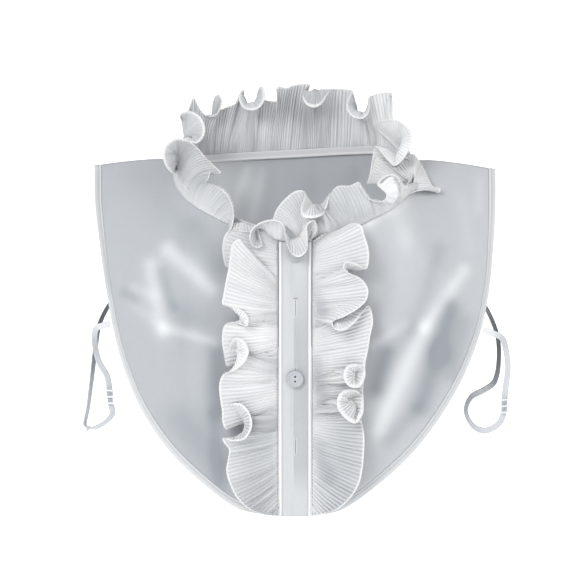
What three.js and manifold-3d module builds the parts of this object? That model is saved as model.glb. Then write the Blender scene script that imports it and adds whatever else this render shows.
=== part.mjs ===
// A detachable blouse front, or dickey: a sheer bib that opens down the centre front, with a pleated ruffle
// standing round the neck, a pleated frill on each side of the button placket, a short back bib and two
// adjustable elastic side straps.
//
// Millimetres. +X is to the right as seen from the front, +Y runs from front to back and +Z is up. The origin is
// the middle of the neck opening, where the wearer's neck holds the piece up.

import * as THREE from 'three';
import Module from 'manifold-3d';
import { mergeVertices } from 'three/addons/utils/BufferGeometryUtils.js';

const wasm = await Module();
wasm.setup();

// Driving sizes
const CLOTH = 1.2;
const HEM_CLOTH = 1.9;
const RUFFLE_CLOTH = 1.0;
const HEM_WIDTH = 7;
const GAP = 0.6;

const PLACKET_WIDTH = 25.2;
const PLACKET_CLOTH = 1.5;
const PLACKET_FORWARD = 1.1;
const FACING_WIDTH = 23.6;
const FACING_CLOTH = 1.0;
const FACING_BACK = 1.5;
const FRONT_EDGE = PLACKET_WIDTH / 2 + 0.6;
const BUTTONHOLE = { length: 12.4, width: 1.4, drops: [53, 106, 163.5] };

const BUTTON = { radius: 6.65, thick: 2.6, dish: 0.7, rim: 1.5, hole: 0.85, pitch: 3.8 };
const BUTTON_DROPS = { button_top: 10, button_middle: 108.5 };

const BAND = { height: 5, thick: 1.0, inset: 2.4, lift: -0.6 };
const COLLAR_FOOT = { out: 2.4, up: 2.6, overlap: 13, step: 2.6 };
const STRAP = { width: 4.8, thick: 1.0 };
const SLIDER = { width: 8, length: 11.5, thick: 1.3, bar: 1.1, forward: 2.8 };

// The neck seam from the centre front round one side to the centre back
const NECK_SEAM = [
  { x: 0, y: -57, z: -19.5 },
  { x: 28, y: -54.5, z: -15.5 },
  { x: 54, y: -46.7, z: -7.4 },
  { x: 79, y: -30, z: 2.4 },
  { x: 92, y: -11, z: 11 },
  { x: 95, y: 9, z: 17.5 },
  { x: 89, y: 30, z: 22.5 },
  { x: 68, y: 46, z: 21.4 },
  { x: 35, y: 54, z: 20.2 },
  { x: 0, y: 56, z: 19.6 },
];

// The shoulder seam from the neck to the tip
const SHOULDER = [
  { x: 89, y: 30, z: 22.5 },
  { x: 108, y: 32, z: 23.5 },
  { x: 135, y: 35, z: 20 },
  { x: 161, y: 38, z: 15 },
];
// The right shoulder tip lies this much lower than the left one, halved
const SHOULDER_DROP = 1.6;

// The front bib's outer edge from the bottom of the placket up to the shoulder tip
const FRONT_EDGE_ROWS = [
  { left: 13.2, right: 13.2, y: -75.6, z: -241.6 },
  { left: 45, right: 38, y: -73.5, z: -236.5 },
  { left: 75, right: 68, y: -68, z: -216 },
  { left: 101, right: 95, y: -61, z: -191 },
  { left: 121, right: 117, y: -53, z: -163 },
  { left: 135, right: 135, y: -44, z: -132 },
  { left: 144, right: 147, y: -35, z: -101 },
  { left: 150, right: 154, y: -25, z: -70 },
  { left: 155, right: 157.5, y: -11, z: -40 },
  { left: 159.5, right: 160, y: 10, z: -10 },
  { left: 161, right: 161, y: 38, z: 15 },
];

// The back bib's outer edge from the centre back up to the shoulder tip
const BACK_EDGE_ROWS = [
  { x: 0, y: 92, z: -150.5 },
  { x: 58, y: 88, z: -145 },
  { x: 102, y: 80, z: -124 },
  { x: 130, y: 72, z: -96 },
  { x: 147, y: 65, z: -62 },
  { x: 156, y: 57, z: -26 },
  { x: 161, y: 40, z: 14 },
];

// How the cloth swells over the chest, down the centre front
const CHEST = { swell: 21, drop: 170 };

// Soft drape folds of the front: a ridge from one place to another, as seen from the front
const FRONT_FOLDS = [
  { fromX: -100, fromZ: -18, toX: -140, toZ: -112, width: 12, height: 3.2 },
  { fromX: -66, fromZ: -40, toX: -112, toZ: -120, width: 13, height: 3.0 },
  { fromX: -82, fromZ: -10, toX: -84, toZ: -150, width: 9, height: -2.6 },
  { fromX: -70, fromZ: -120, toX: -96, toZ: -190, width: 13, height: 2.4 },
  { fromX: 92, fromZ: -20, toX: 74, toZ: -96, width: 12, height: 3.2 },
  { fromX: 80, fromZ: -14, toX: 132, toZ: -70, width: 11, height: 2.8 },
  { fromX: 72, fromZ: -70, toX: 132, toZ: -118, width: 11, height: -2.8 },
  { fromX: 120, fromZ: -84, toX: 74, toZ: -130, width: 11, height: 3.0 },
  { fromX: 100, fromZ: -110, toX: 84, toZ: -186, width: 12, height: 2.6 },
];

// Upright folds of the back, just under the neck seam
const BACK_FOLDS = [
  { fromX: -46, fromZ: 10, toX: -58, toZ: -110, width: 9, height: 2.6 },
  { fromX: -16, fromZ: 10, toX: -20, toZ: -120, width: 8, height: 2.2 },
  { fromX: 18, fromZ: 10, toX: 26, toZ: -120, width: 9, height: 2.4 },
  { fromX: 52, fromZ: 10, toX: 66, toZ: -100, width: 9, height: 2.6 },
];

// Where a ruffle's free edge goes: a row at each turn of each fold. at is the place along the seam that the
// turn is gathered to, x and y are its place, seen its height as it shows from the front and VIEW_TILT above,
// bulge how far the cloth swells on its way there, and lip how far it rolls over past its edge, to the left of
// the way along the edge. The stand ruffle's seam is measured from the centre back, to the right.
const VIEW_TILT = THREE.MathUtils.degToRad(15);
const COLLAR_EDGE = [
  { at: -266, x: 12.8, y: -63, seen: -33.6, bulge: 6, lip: 0 },
  { at: -263, x: 17.2, y: -66, seen: -26, bulge: 8, lip: 0 },
  { at: -260, x: 14.4, y: -68, seen: -19.2, bulge: 9, lip: 0 },
  { at: -258, x: 9.4, y: -69, seen: -23, bulge: 10, lip: 0 },
  { at: -256, x: 9.6, y: -71, seen: -33, bulge: 11, lip: 0 },
  { at: -254, x: 8.8, y: -72, seen: -43, bulge: 12, lip: 0 },
  { at: -251, x: 2.8, y: -73, seen: -47.8, bulge: 12, lip: -1 },
  { at: -248, x: -3, y: -72, seen: -44.6, bulge: 12, lip: 0 },
  { at: -245, x: -7.2, y: -70, seen: -34, bulge: 12, lip: 0 },
  { at: -242, x: -9.4, y: -66, seen: -22.8, bulge: 10, lip: 0 },
  { at: -238, x: -16, y: -65, seen: -19, bulge: 8, lip: 0 },
  { at: -232, x: -26, y: -66, seen: -20.6, bulge: 8, lip: 0 },
  { at: -228, x: -34, y: -69, seen: -26.4, bulge: 8, lip: 0 },
  { at: -225, x: -35.4, y: -70, seen: -34, bulge: 8, lip: 0 },
  { at: -223, x: -31.2, y: -69, seen: -40.3, bulge: 6, lip: 0 },
  { at: -221, x: -26, y: -67, seen: -39, bulge: 6, lip: 0 },
  { at: -219, x: -27.4, y: -65, seen: -33, bulge: 5, lip: 0 },
  { at: -217, x: -29.5, y: -62, seen: -27, bulge: 8, lip: 0 },
  { at: -214, x: -35, y: -62, seen: -28.4, bulge: 11, lip: 0 },
  { at: -209, x: -43.5, y: -61, seen: -27.6, bulge: 12, lip: 0 },
  { at: -205, x: -49.6, y: -61, seen: -27, bulge: 11, lip: 0 },
  { at: -201, x: -53, y: -62, seen: -29, bulge: 8, lip: 0 },
  { at: -198, x: -50.4, y: -62, seen: -26, bulge: 8, lip: 0 },
  { at: -194, x: -48.8, y: -59, seen: -18, bulge: 8, lip: -1 },
  { at: -189, x: -49.2, y: -53, seen: -10, bulge: 8, lip: -1.5 },
  { at: -183, x: -52, y: -47, seen: -2.5, bulge: 8, lip: -2 },
  { at: -177, x: -57, y: -40, seen: 4.2, bulge: 8, lip: -2 },
  { at: -170, x: -64.4, y: -34, seen: 8.8, bulge: 8, lip: -1 },
  { at: -164, x: -72, y: -29, seen: 10.6, bulge: 8, lip: 0 },
  { at: -160, x: -72.4, y: -25, seen: 10.4, bulge: 8, lip: 0 },
  { at: -156, x: -69, y: -20, seen: 14, bulge: 10, lip: 0 },
  { at: -153, x: -66.4, y: -16, seen: 20.2, bulge: 12, lip: 0 },
  { at: -151, x: -62, y: -14, seen: 18.6, bulge: 12, lip: 0 },
  { at: -149, x: -58.6, y: -12, seen: 19.2, bulge: 12, lip: 0 },
  { at: -146, x: -64, y: -12, seen: 25, bulge: 12, lip: 0 },
  { at: -142, x: -71, y: -14, seen: 31.6, bulge: 12, lip: 0 },
  { at: -138, x: -75.5, y: -17, seen: 37, bulge: 12, lip: 0 },
  { at: -134, x: -82.5, y: -22, seen: 43, bulge: 10, lip: 0 },
  { at: -130, x: -89, y: -26, seen: 45.4, bulge: 8, lip: 3 },
  { at: -127, x: -94.6, y: -29, seen: 45.6, bulge: 8, lip: 5 },
  { at: -124, x: -100, y: -31, seen: 42.6, bulge: 8, lip: 7 },
  { at: -121.5, x: -103.6, y: -33, seen: 37, bulge: 8, lip: 8 },
  { at: -119.5, x: -104, y: -33, seen: 31, bulge: 8, lip: 8 },
  { at: -117, x: -101.6, y: -31, seen: 24, bulge: 8, lip: 7 },
  { at: -115, x: -97, y: -26, seen: 19, bulge: 8, lip: 4 },
  { at: -113.5, x: -94, y: -18, seen: 20, bulge: 8, lip: 0 },
  { at: -112, x: -93, y: -5, seen: 27, bulge: 8, lip: 0 },
  { at: -110, x: -90, y: 3, seen: 36, bulge: 8, lip: 0 },
  { at: -108, x: -84.4, y: 5, seen: 43.8, bulge: 8, lip: 2 },
  { at: -106, x: -78.4, y: 3, seen: 42.8, bulge: 8, lip: 4 },
  { at: -104, x: -73.6, y: 3, seen: 46.4, bulge: 8, lip: 5 },
  { at: -102, x: -71.4, y: 5, seen: 53.6, bulge: 8, lip: 5 },
  { at: -99.5, x: -73.6, y: 10, seen: 61.6, bulge: 8, lip: 5 },
  { at: -97, x: -79, y: 16, seen: 67, bulge: 8, lip: 4 },
  { at: -94.5, x: -85.4, y: 23, seen: 69, bulge: 8, lip: 2 },
  { at: -92, x: -91.4, y: 29, seen: 67, bulge: 8, lip: 2 },
  { at: -91, x: -91.6, y: 33, seen: 63.6, bulge: 8, lip: 0 },
  { at: -90, x: -88, y: 38, seen: 65.6, bulge: 8, lip: 0 },
  { at: -88, x: -84.4, y: 42, seen: 73, bulge: 6, lip: 0 },
  { at: -86, x: -81.2, y: 44, seen: 80.4, bulge: 6, lip: 0 },
  { at: -83, x: -77.6, y: 43, seen: 74, bulge: 6, lip: 0 },
  { at: -80, x: -73.4, y: 41, seen: 67.6, bulge: 6, lip: 1 },
  { at: -77, x: -67.6, y: 40, seen: 65, bulge: 8, lip: 2 },
  { at: -74.5, x: -62.8, y: 42, seen: 66.8, bulge: 8, lip: 1.5 },
  { at: -73, x: -60, y: 45, seen: 72, bulge: 8, lip: 0 },
  { at: -71.5, x: -58.8, y: 48, seen: 79, bulge: 6, lip: 0 },
  { at: -70, x: -61, y: 50, seen: 83.6, bulge: 6, lip: 0 },
  { at: -68.5, x: -64, y: 52, seen: 81.4, bulge: 6, lip: 0 },
  { at: -67, x: -65.6, y: 55, seen: 74, bulge: 6, lip: 0 },
  { at: -65, x: -61, y: 59, seen: 71.4, bulge: 6, lip: 0 },
  { at: -61, x: -54.4, y: 59, seen: 73.6, bulge: 6, lip: 0 },
  { at: -57, x: -47.2, y: 60, seen: 76.8, bulge: 6, lip: 0 },
  { at: -55, x: -43.6, y: 64, seen: 82, bulge: 6, lip: 0 },
  { at: -53.5, x: -41, y: 65, seen: 87.6, bulge: 8, lip: 1.5 },
  { at: -52, x: -44, y: 61, seen: 85.6, bulge: 12, lip: 3.5 },
  { at: -50, x: -44.8, y: 52, seen: 79, bulge: 14, lip: 4 },
  { at: -47, x: -42, y: 45, seen: 72.8, bulge: 14, lip: 4.5 },
  { at: -43, x: -36.4, y: 41, seen: 70.2, bulge: 14, lip: 5.2 },
  { at: -39, x: -30, y: 41, seen: 71.2, bulge: 14, lip: 5.2 },
  { at: -36, x: -25.6, y: 46, seen: 76, bulge: 12, lip: 4.5 },
  { at: -34, x: -24.2, y: 54, seen: 83.6, bulge: 10, lip: 3 },
  { at: -32.5, x: -25.6, y: 61, seen: 89.6, bulge: 8, lip: 1.5 },
  { at: -31, x: -28.4, y: 66, seen: 89.6, bulge: 6, lip: 0 },
  { at: -29.5, x: -29.6, y: 67, seen: 84, bulge: 6, lip: 0 },
  { at: -27.5, x: -26, y: 65, seen: 80.4, bulge: 6, lip: 0 },
  { at: -23, x: -18.4, y: 62, seen: 78.4, bulge: 6, lip: 0 },
  { at: -20.5, x: -12.6, y: 61, seen: 79, bulge: 6, lip: 0 },
  { at: -19.4, x: -11.2, y: 59, seen: 84.6, bulge: 6, lip: 0 },
  { at: -18, x: -15.2, y: 55, seen: 87.4, bulge: 6, lip: 0 },
  { at: -16.6, x: -13.6, y: 54, seen: 89.8, bulge: 6, lip: 0 },
  { at: -13, x: -7, y: 59, seen: 88.8, bulge: 6, lip: 0 },
  { at: -8, x: -1.4, y: 64, seen: 91, bulge: 6, lip: 0 },
  { at: -1, x: 6, y: 68, seen: 92.6, bulge: 6, lip: 0 },
  { at: 3, x: 11.6, y: 66, seen: 92.2, bulge: 14, lip: 0 },
  { at: 6, x: 9.2, y: 58, seen: 88.6, bulge: 34, lip: 0 },
  { at: 8.5, x: 6.4, y: 50, seen: 81, bulge: 49, lip: 1 },
  { at: 11.5, x: 9.4, y: 44, seen: 74.6, bulge: 56, lip: 2 },
  { at: 15.5, x: 15.2, y: 41, seen: 72.4, bulge: 60, lip: 2 },
  { at: 19, x: 21, y: 44, seen: 75, bulge: 57, lip: 2 },
  { at: 22, x: 25, y: 51, seen: 81.4, bulge: 48, lip: 1 },
  { at: 25, x: 28.6, y: 59, seen: 87, bulge: 32, lip: 0 },
  { at: 29, x: 32, y: 65, seen: 88.4, bulge: 12, lip: 0 },
  { at: 39, x: 40.4, y: 68, seen: 88.6, bulge: 6, lip: 0 },
  { at: 44, x: 46, y: 64, seen: 86.8, bulge: 8, lip: 1.5 },
  { at: 47, x: 44, y: 57, seen: 83.2, bulge: 10, lip: 3 },
  { at: 49.5, x: 41.2, y: 48, seen: 76, bulge: 12, lip: 3.5 },
  { at: 52.5, x: 42.6, y: 41, seen: 68.6, bulge: 14, lip: 3.8 },
  { at: 56, x: 48, y: 37, seen: 64, bulge: 14, lip: 3.8 },
  { at: 60, x: 54, y: 37, seen: 63.4, bulge: 14, lip: 3.2 },
  { at: 63.5, x: 58.6, y: 41, seen: 67.6, bulge: 12, lip: 2.4 },
  { at: 66.5, x: 60, y: 47, seen: 74.6, bulge: 10, lip: 1.6 },
  { at: 68.5, x: 59.6, y: 53, seen: 81.2, bulge: 8, lip: 1 },
  { at: 71, x: 62, y: 56, seen: 82.4, bulge: 6, lip: 2 },
  { at: 75, x: 67.4, y: 56, seen: 84.2, bulge: 6, lip: 1 },
  { at: 79, x: 73.4, y: 58, seen: 85.2, bulge: 6, lip: 1 },
  { at: 82, x: 77.8, y: 55, seen: 84.6, bulge: 6, lip: 1 },
  { at: 84, x: 77.4, y: 50, seen: 81, bulge: 6, lip: 0 },
  { at: 86, x: 73.2, y: 52, seen: 73.6, bulge: 6, lip: 0 },
  { at: 88, x: 68, y: 48, seen: 64.6, bulge: 6, lip: 0 },
  { at: 90, x: 64, y: 36, seen: 57.4, bulge: 6, lip: -1 },
  { at: 92.5, x: 68.6, y: 22, seen: 61.4, bulge: 8, lip: -2 },
  { at: 95.5, x: 77, y: 14, seen: 62.2, bulge: 8, lip: -3 },
  { at: 98.5, x: 85.6, y: 9, seen: 59, bulge: 8, lip: -3.4 },
  { at: 101.5, x: 91.6, y: 4, seen: 52.6, bulge: 8, lip: -4 },
  { at: 104, x: 93, y: -1, seen: 45, bulge: 11, lip: -4.4 },
  { at: 106.5, x: 89.4, y: -5, seen: 35.6, bulge: 13, lip: -4.4 },
  { at: 109, x: 84, y: -7, seen: 28, bulge: 14, lip: -4 },
  { at: 111.5, x: 78.8, y: -7, seen: 24.8, bulge: 14, lip: -3 },
  { at: 114, x: 73, y: -3, seen: 30, bulge: 14, lip: -1.6 },
  { at: 116, x: 66, y: 5, seen: 38.6, bulge: 14, lip: 0 },
  { at: 117.5, x: 63.6, y: 8, seen: 40.6, bulge: 14, lip: 0 },
  { at: 119, x: 61.4, y: 5, seen: 31, bulge: 14, lip: 0 },
  { at: 121, x: 59.4, y: -3, seen: 19, bulge: 16, lip: 0 },
  { at: 123, x: 57, y: -8, seen: 10.4, bulge: 18, lip: 0 },
  { at: 125, x: 60.5, y: -2, seen: 21, bulge: 16, lip: 0 },
  { at: 127, x: 66, y: 3, seen: 32, bulge: 12, lip: 0 },
  { at: 129, x: 72.5, y: 2, seen: 28.4, bulge: 8, lip: 0 },
  { at: 130.8, x: 79.5, y: 1, seen: 23.8, bulge: 8, lip: 0 },
  { at: 132.4, x: 87, y: 7, seen: 30.6, bulge: 8, lip: 0 },
  { at: 134, x: 94.6, y: 19, seen: 34.6, bulge: 7, lip: 0 },
  { at: 136, x: 99.6, y: 20, seen: 28.4, bulge: 7, lip: 0 },
  { at: 138.5, x: 103.4, y: 14, seen: 21.6, bulge: 7, lip: 0 },
  { at: 141, x: 107.2, y: 3, seen: 12.4, bulge: 7, lip: 0 },
  { at: 143.5, x: 110.6, y: -1.5, seen: 7, bulge: 6, lip: 0 },
  { at: 145.5, x: 113.6, y: -2, seen: 5.2, bulge: 5, lip: 0 },
  { at: 147, x: 116.6, y: 2, seen: 8.6, bulge: 5, lip: 0 },
  { at: 148.3, x: 116.4, y: 6, seen: 14, bulge: 5, lip: 0 },
  { at: 149.4, x: 114, y: 13, seen: 20.4, bulge: 5, lip: 0 },
  { at: 150.8, x: 107.6, y: 7, seen: 15.4, bulge: 3, lip: 0 },
  { at: 152.5, x: 98, y: -7, seen: 8.4, bulge: 3, lip: 0 },
  { at: 155, x: 89, y: -21, seen: 5.4, bulge: 6, lip: 0 },
  { at: 157.5, x: 85.6, y: -27, seen: 10, bulge: 8, lip: 2 },
  { at: 160, x: 80.4, y: -30, seen: 16.8, bulge: 8, lip: 4 },
  { at: 162, x: 73.4, y: -31, seen: 17.6, bulge: 8, lip: 6 },
  { at: 164, x: 66.6, y: -32, seen: 13.4, bulge: 8, lip: 8 },
  { at: 165.5, x: 64.8, y: -34, seen: 9.6, bulge: 8, lip: 8 },
  { at: 167, x: 68, y: -36, seen: 6, bulge: 8, lip: 7 },
  { at: 168.5, x: 71.6, y: -38, seen: 2.4, bulge: 8, lip: 5 },
  { at: 171, x: 70.6, y: -42, seen: -2.4, bulge: 8, lip: 2 },
  { at: 175, x: 64.6, y: -44, seen: -4.2, bulge: 6, lip: 0 },
  { at: 180, x: 57, y: -44, seen: -1.4, bulge: 6, lip: 0 },
  { at: 186, x: 52, y: -42, seen: 5.6, bulge: 6, lip: 0 },
  { at: 189, x: 50.4, y: -38, seen: 11.4, bulge: 6, lip: 0 },
  { at: 195, x: 43, y: -37, seen: 8.6, bulge: 6, lip: 0 },
  { at: 206, x: 33.6, y: -39, seen: 8, bulge: 6, lip: 0 },
  { at: 211, x: 28, y: -43, seen: 2, bulge: 8, lip: -2 },
  { at: 215, x: 25, y: -52, seen: -8, bulge: 10, lip: -4 },
  { at: 218, x: 21, y: -62, seen: -15, bulge: 12, lip: -6 },
  { at: 223, x: 13.5, y: -67, seen: -17.4, bulge: 12, lip: -7 },
  { at: 228, x: 6, y: -66, seen: -16, bulge: 12, lip: -6 },
  { at: 232, x: 4.4, y: -59, seen: -9, bulge: 12, lip: -4 },
  { at: 236, x: 7.4, y: -48, seen: 0, bulge: 8, lip: -1 },
  { at: 239, x: 6.6, y: -42, seen: 4.4, bulge: 6, lip: 0 },
  { at: 242, x: 0, y: -42, seen: 4, bulge: 6, lip: 0 },
  { at: 246, x: -9, y: -45, seen: -3, bulge: 6, lip: 0 },
  { at: 249, x: -15, y: -50, seen: -11, bulge: 6, lip: 0 },
  { at: 251.5, x: -18, y: -56, seen: -19, bulge: 6, lip: 0 },
];

// A frill's seam is measured down the placket's edge from the neck.
const LEFT_FRILL_EDGE = [
  { at: 0.5, x: -20, y: -59.5, seen: -32.4, bulge: 2, lip: 0 },
  { at: 2.5, x: -34, y: -58.8, seen: -30.4, bulge: 3, lip: 0 },
  { at: 5, x: -47, y: -59.4, seen: -28.6, bulge: 3, lip: 0 },
  { at: 8, x: -54.4, y: -62, seen: -30.6, bulge: 3, lip: 0 },
  { at: 13, x: -57, y: -65, seen: -37.6, bulge: 3, lip: 0 },
  { at: 19, x: -56.8, y: -68, seen: -46, bulge: 3, lip: 0 },
  { at: 25, x: -53.6, y: -69, seen: -56, bulge: 2, lip: 0 },
  { at: 29, x: -46.4, y: -70, seen: -50, bulge: 1, lip: 0 },
  { at: 31.5, x: -42.6, y: -72, seen: -38, bulge: 2, lip: 0 },
  { at: 33, x: -43.6, y: -75, seen: -33.4, bulge: 5, lip: 0 },
  { at: 35, x: -48.8, y: -78, seen: -36.8, bulge: 8, lip: 0 },
  { at: 37.5, x: -50.8, y: -81, seen: -45, bulge: 9, lip: 0 },
  { at: 41, x: -51.8, y: -83, seen: -54, bulge: 9, lip: 0 },
  { at: 46, x: -54.4, y: -85, seen: -67, bulge: 9, lip: 0 },
  { at: 51, x: -56.4, y: -86, seen: -78, bulge: 9, lip: 0 },
  { at: 55, x: -57.2, y: -86, seen: -84.4, bulge: 9, lip: 0 },
  { at: 57, x: -50, y: -86, seen: -86.4, bulge: 8, lip: -2 },
  { at: 59, x: -42, y: -86, seen: -89, bulge: 8, lip: -5 },
  { at: 61, x: -36.6, y: -84, seen: -95, bulge: 8, lip: -6 },
  { at: 63, x: -38, y: -81, seen: -102, bulge: 6, lip: -5 },
  { at: 65, x: -45, y: -77, seen: -100, bulge: 3, lip: -2 },
  { at: 67, x: -52, y: -75, seen: -99, bulge: 2, lip: 0 },
  { at: 69, x: -56, y: -76, seen: -102, bulge: 3, lip: 0 },
  { at: 74, x: -57.6, y: -78, seen: -111, bulge: 4, lip: 0 },
  { at: 80, x: -56.4, y: -80, seen: -122, bulge: 4, lip: 0 },
  { at: 86, x: -53.6, y: -81, seen: -134, bulge: 3, lip: -1 },
  { at: 89, x: -51.6, y: -80, seen: -127, bulge: 2, lip: -3 },
  { at: 91, x: -51.6, y: -81, seen: -117, bulge: 3, lip: -5 },
  { at: 93.5, x: -46.6, y: -84, seen: -111, bulge: 5, lip: -7 },
  { at: 95.5, x: -40, y: -88, seen: -113.4, bulge: 7, lip: -8 },
  { at: 97.5, x: -36.4, y: -91, seen: -121, bulge: 8, lip: -8 },
  { at: 100, x: -39.4, y: -92, seen: -130, bulge: 9, lip: -7 },
  { at: 102.5, x: -49, y: -90, seen: -137.4, bulge: 9, lip: -3 },
  { at: 105, x: -56.6, y: -87, seen: -140, bulge: 8, lip: 0 },
  { at: 109, x: -59.6, y: -85, seen: -147.2, bulge: 8, lip: 0 },
  { at: 117, x: -59.2, y: -84, seen: -158, bulge: 7, lip: 0 },
  { at: 125, x: -57.6, y: -83, seen: -169.5, bulge: 6, lip: 0 },
  { at: 128, x: -57.4, y: -83, seen: -177, bulge: 6, lip: 0 },
  { at: 130, x: -54.6, y: -82, seen: -183.4, bulge: 5, lip: 0 },
  { at: 132, x: -50.8, y: -80, seen: -180, bulge: 4, lip: -1 },
  { at: 134, x: -53.4, y: -81, seen: -170, bulge: 4, lip: -4 },
  { at: 136.5, x: -49.6, y: -85, seen: -163, bulge: 6, lip: -5 },
  { at: 139, x: -41.6, y: -89, seen: -163.6, bulge: 8, lip: -5.5 },
  { at: 141.5, x: -35.4, y: -92, seen: -171, bulge: 9, lip: -5.5 },
  { at: 144, x: -34, y: -93, seen: -181.6, bulge: 10, lip: -5 },
  { at: 146.5, x: -40, y: -92, seen: -191.2, bulge: 9, lip: -4 },
  { at: 149, x: -49.6, y: -90, seen: -192.8, bulge: 8, lip: -2 },
  { at: 151, x: -57.2, y: -89, seen: -190.4, bulge: 8, lip: 0 },
  { at: 153, x: -56, y: -87, seen: -194, bulge: 7, lip: 0 },
  { at: 157, x: -52.4, y: -86, seen: -199, bulge: 6, lip: 0 },
  { at: 163, x: -53, y: -85, seen: -207, bulge: 6, lip: 0 },
  { at: 170, x: -54.4, y: -85, seen: -216, bulge: 6, lip: 0 },
  { at: 178, x: -51.6, y: -85, seen: -227, bulge: 6, lip: 0 },
  { at: 187, x: -45.5, y: -85, seen: -238.6, bulge: 6, lip: 0 },
  { at: 198, x: -35.5, y: -84, seen: -247.4, bulge: 5, lip: 0 },
  { at: 209, x: -25, y: -82, seen: -251.2, bulge: 4, lip: 0 },
  { at: 219, x: -14.4, y: -80, seen: -252.6, bulge: 1, lip: 0 },
];
const RIGHT_FRILL_EDGE = [
  { at: 0.5, x: 20, y: -61, seen: -27, bulge: 2, lip: 0 },
  { at: 2.5, x: 34, y: -62, seen: -23.6, bulge: 3, lip: 0 },
  { at: 5, x: 46, y: -63, seen: -21.4, bulge: 3, lip: 0 },
  { at: 8, x: 51.6, y: -64, seen: -22.6, bulge: 3, lip: 0 },
  { at: 12, x: 54.6, y: -67, seen: -31, bulge: 4, lip: 0 },
  { at: 17, x: 57.4, y: -70, seen: -40, bulge: 5, lip: 0 },
  { at: 22, x: 58, y: -74, seen: -49, bulge: 6, lip: 0 },
  { at: 25, x: 56, y: -77, seen: -56.6, bulge: 7, lip: 0 },
  { at: 27.5, x: 48.5, y: -81, seen: -53, bulge: 7, lip: 2 },
  { at: 30, x: 39.8, y: -85, seen: -51.4, bulge: 8, lip: 3 },
  { at: 32, x: 37.4, y: -87, seen: -56, bulge: 8, lip: 3 },
  { at: 34, x: 41.6, y: -86, seen: -60.6, bulge: 7, lip: 2 },
  { at: 37, x: 49.4, y: -83, seen: -63.4, bulge: 6, lip: 0 },
  { at: 40, x: 54.6, y: -81, seen: -67.6, bulge: 5, lip: 0 },
  { at: 44, x: 57.4, y: -81, seen: -74, bulge: 5, lip: 0 },
  { at: 49, x: 55.6, y: -84, seen: -82, bulge: 6, lip: -1 },
  { at: 53, x: 48.6, y: -88, seen: -88.6, bulge: 7, lip: -1.5 },
  { at: 56.5, x: 38.6, y: -91, seen: -94.4, bulge: 7, lip: -1.5 },
  { at: 60, x: 29.4, y: -92, seen: -98.6, bulge: 8, lip: 0 },
  { at: 62, x: 30.6, y: -92, seen: -104, bulge: 8, lip: 2 },
  { at: 64.5, x: 37.6, y: -91, seen: -105.4, bulge: 6, lip: 4 },
  { at: 67, x: 46, y: -87, seen: -100, bulge: 4, lip: 4 },
  { at: 69.5, x: 53.5, y: -82, seen: -90.5, bulge: 2, lip: 3 },
  { at: 72, x: 58, y: -78, seen: -86, bulge: 2, lip: 0 },
  { at: 77, x: 61.2, y: -80, seen: -97.6, bulge: 3, lip: 0 },
  { at: 84, x: 59, y: -82, seen: -110, bulge: 4, lip: 0 },
  { at: 92, x: 57.4, y: -83, seen: -120.5, bulge: 4, lip: 0 },
  { at: 99, x: 55.2, y: -85, seen: -132.5, bulge: 4, lip: -2 },
  { at: 102, x: 55, y: -89, seen: -142, bulge: 5, lip: -6 },
  { at: 104.5, x: 50.4, y: -93, seen: -150, bulge: 6, lip: -8 },
  { at: 107, x: 42.6, y: -95, seen: -149.4, bulge: 7, lip: -8 },
  { at: 109.5, x: 37.8, y: -96, seen: -141.6, bulge: 8, lip: -8 },
  { at: 112, x: 40.6, y: -95, seen: -133.4, bulge: 7, lip: -8 },
  { at: 114.5, x: 48.6, y: -91, seen: -131.6, bulge: 5, lip: -7 },
  { at: 117, x: 54.4, y: -85, seen: -137.6, bulge: 3, lip: -3 },
  { at: 119, x: 53.6, y: -84, seen: -152, bulge: 3, lip: -2 },
  { at: 122, x: 54, y: -88, seen: -163, bulge: 5, lip: -6 },
  { at: 124.5, x: 53, y: -92, seen: -172, bulge: 6, lip: -9 },
  { at: 127, x: 47.6, y: -95, seen: -178.6, bulge: 7, lip: -10 },
  { at: 130, x: 38.4, y: -97, seen: -173.6, bulge: 8, lip: -10 },
  { at: 132.5, x: 32.6, y: -97, seen: -163.4, bulge: 8, lip: -10 },
  { at: 135, x: 35.4, y: -95, seen: -154.6, bulge: 7, lip: -9 },
  { at: 137.5, x: 44.6, y: -90, seen: -151.4, bulge: 5, lip: -7 },
  { at: 139.5, x: 51.6, y: -85, seen: -155.4, bulge: 3, lip: -3 },
  { at: 141, x: 50.6, y: -83, seen: -168, bulge: 2, lip: 0 },
  { at: 144, x: 53, y: -85, seen: -179, bulge: 4, lip: 0 },
  { at: 149, x: 54.6, y: -87, seen: -189, bulge: 6, lip: 0 },
  { at: 157, x: 54.4, y: -88, seen: -201, bulge: 6, lip: 0 },
  { at: 166, x: 53.4, y: -88, seen: -213.8, bulge: 6, lip: 0 },
  { at: 175, x: 50.8, y: -88, seen: -226, bulge: 6, lip: 0 },
  { at: 184, x: 45, y: -87, seen: -236.4, bulge: 6, lip: 0 },
  { at: 194, x: 37, y: -86, seen: -244.6, bulge: 5, lip: 0 },
  { at: 204, x: 27.4, y: -84, seen: -250, bulge: 4, lip: 0 },
  { at: 212, x: 19.5, y: -83, seen: -251.4, bulge: 3, lip: 0 },
  { at: 219, x: 13.8, y: -81, seen: -251.4, bulge: 1, lip: 0 },
];

// How a lip is shaped, and the soft tubes that a gathered seam throws up: they begin at the foot and fade
// towards the free edge
const LIP = { reach: 2.8, start: 6, back: 0.5 };
const COLLAR_GATHERS = { pitch: 9.6, height: 1.7, begin: 0.25, fade: 1.2 };
const FRILL_GATHERS = { pitch: 8.4, height: 1.3, begin: 0.25, fade: 1.2 };
const COLLAR_KNEE = { out: 0.3, up: 0.5 };
const FRILL_FOOT = { aside: 0.4, forward: 2.2 };
// The rows of facets lie closer together towards the free edge
const ROW_CROWDING = 1.3;

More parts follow.
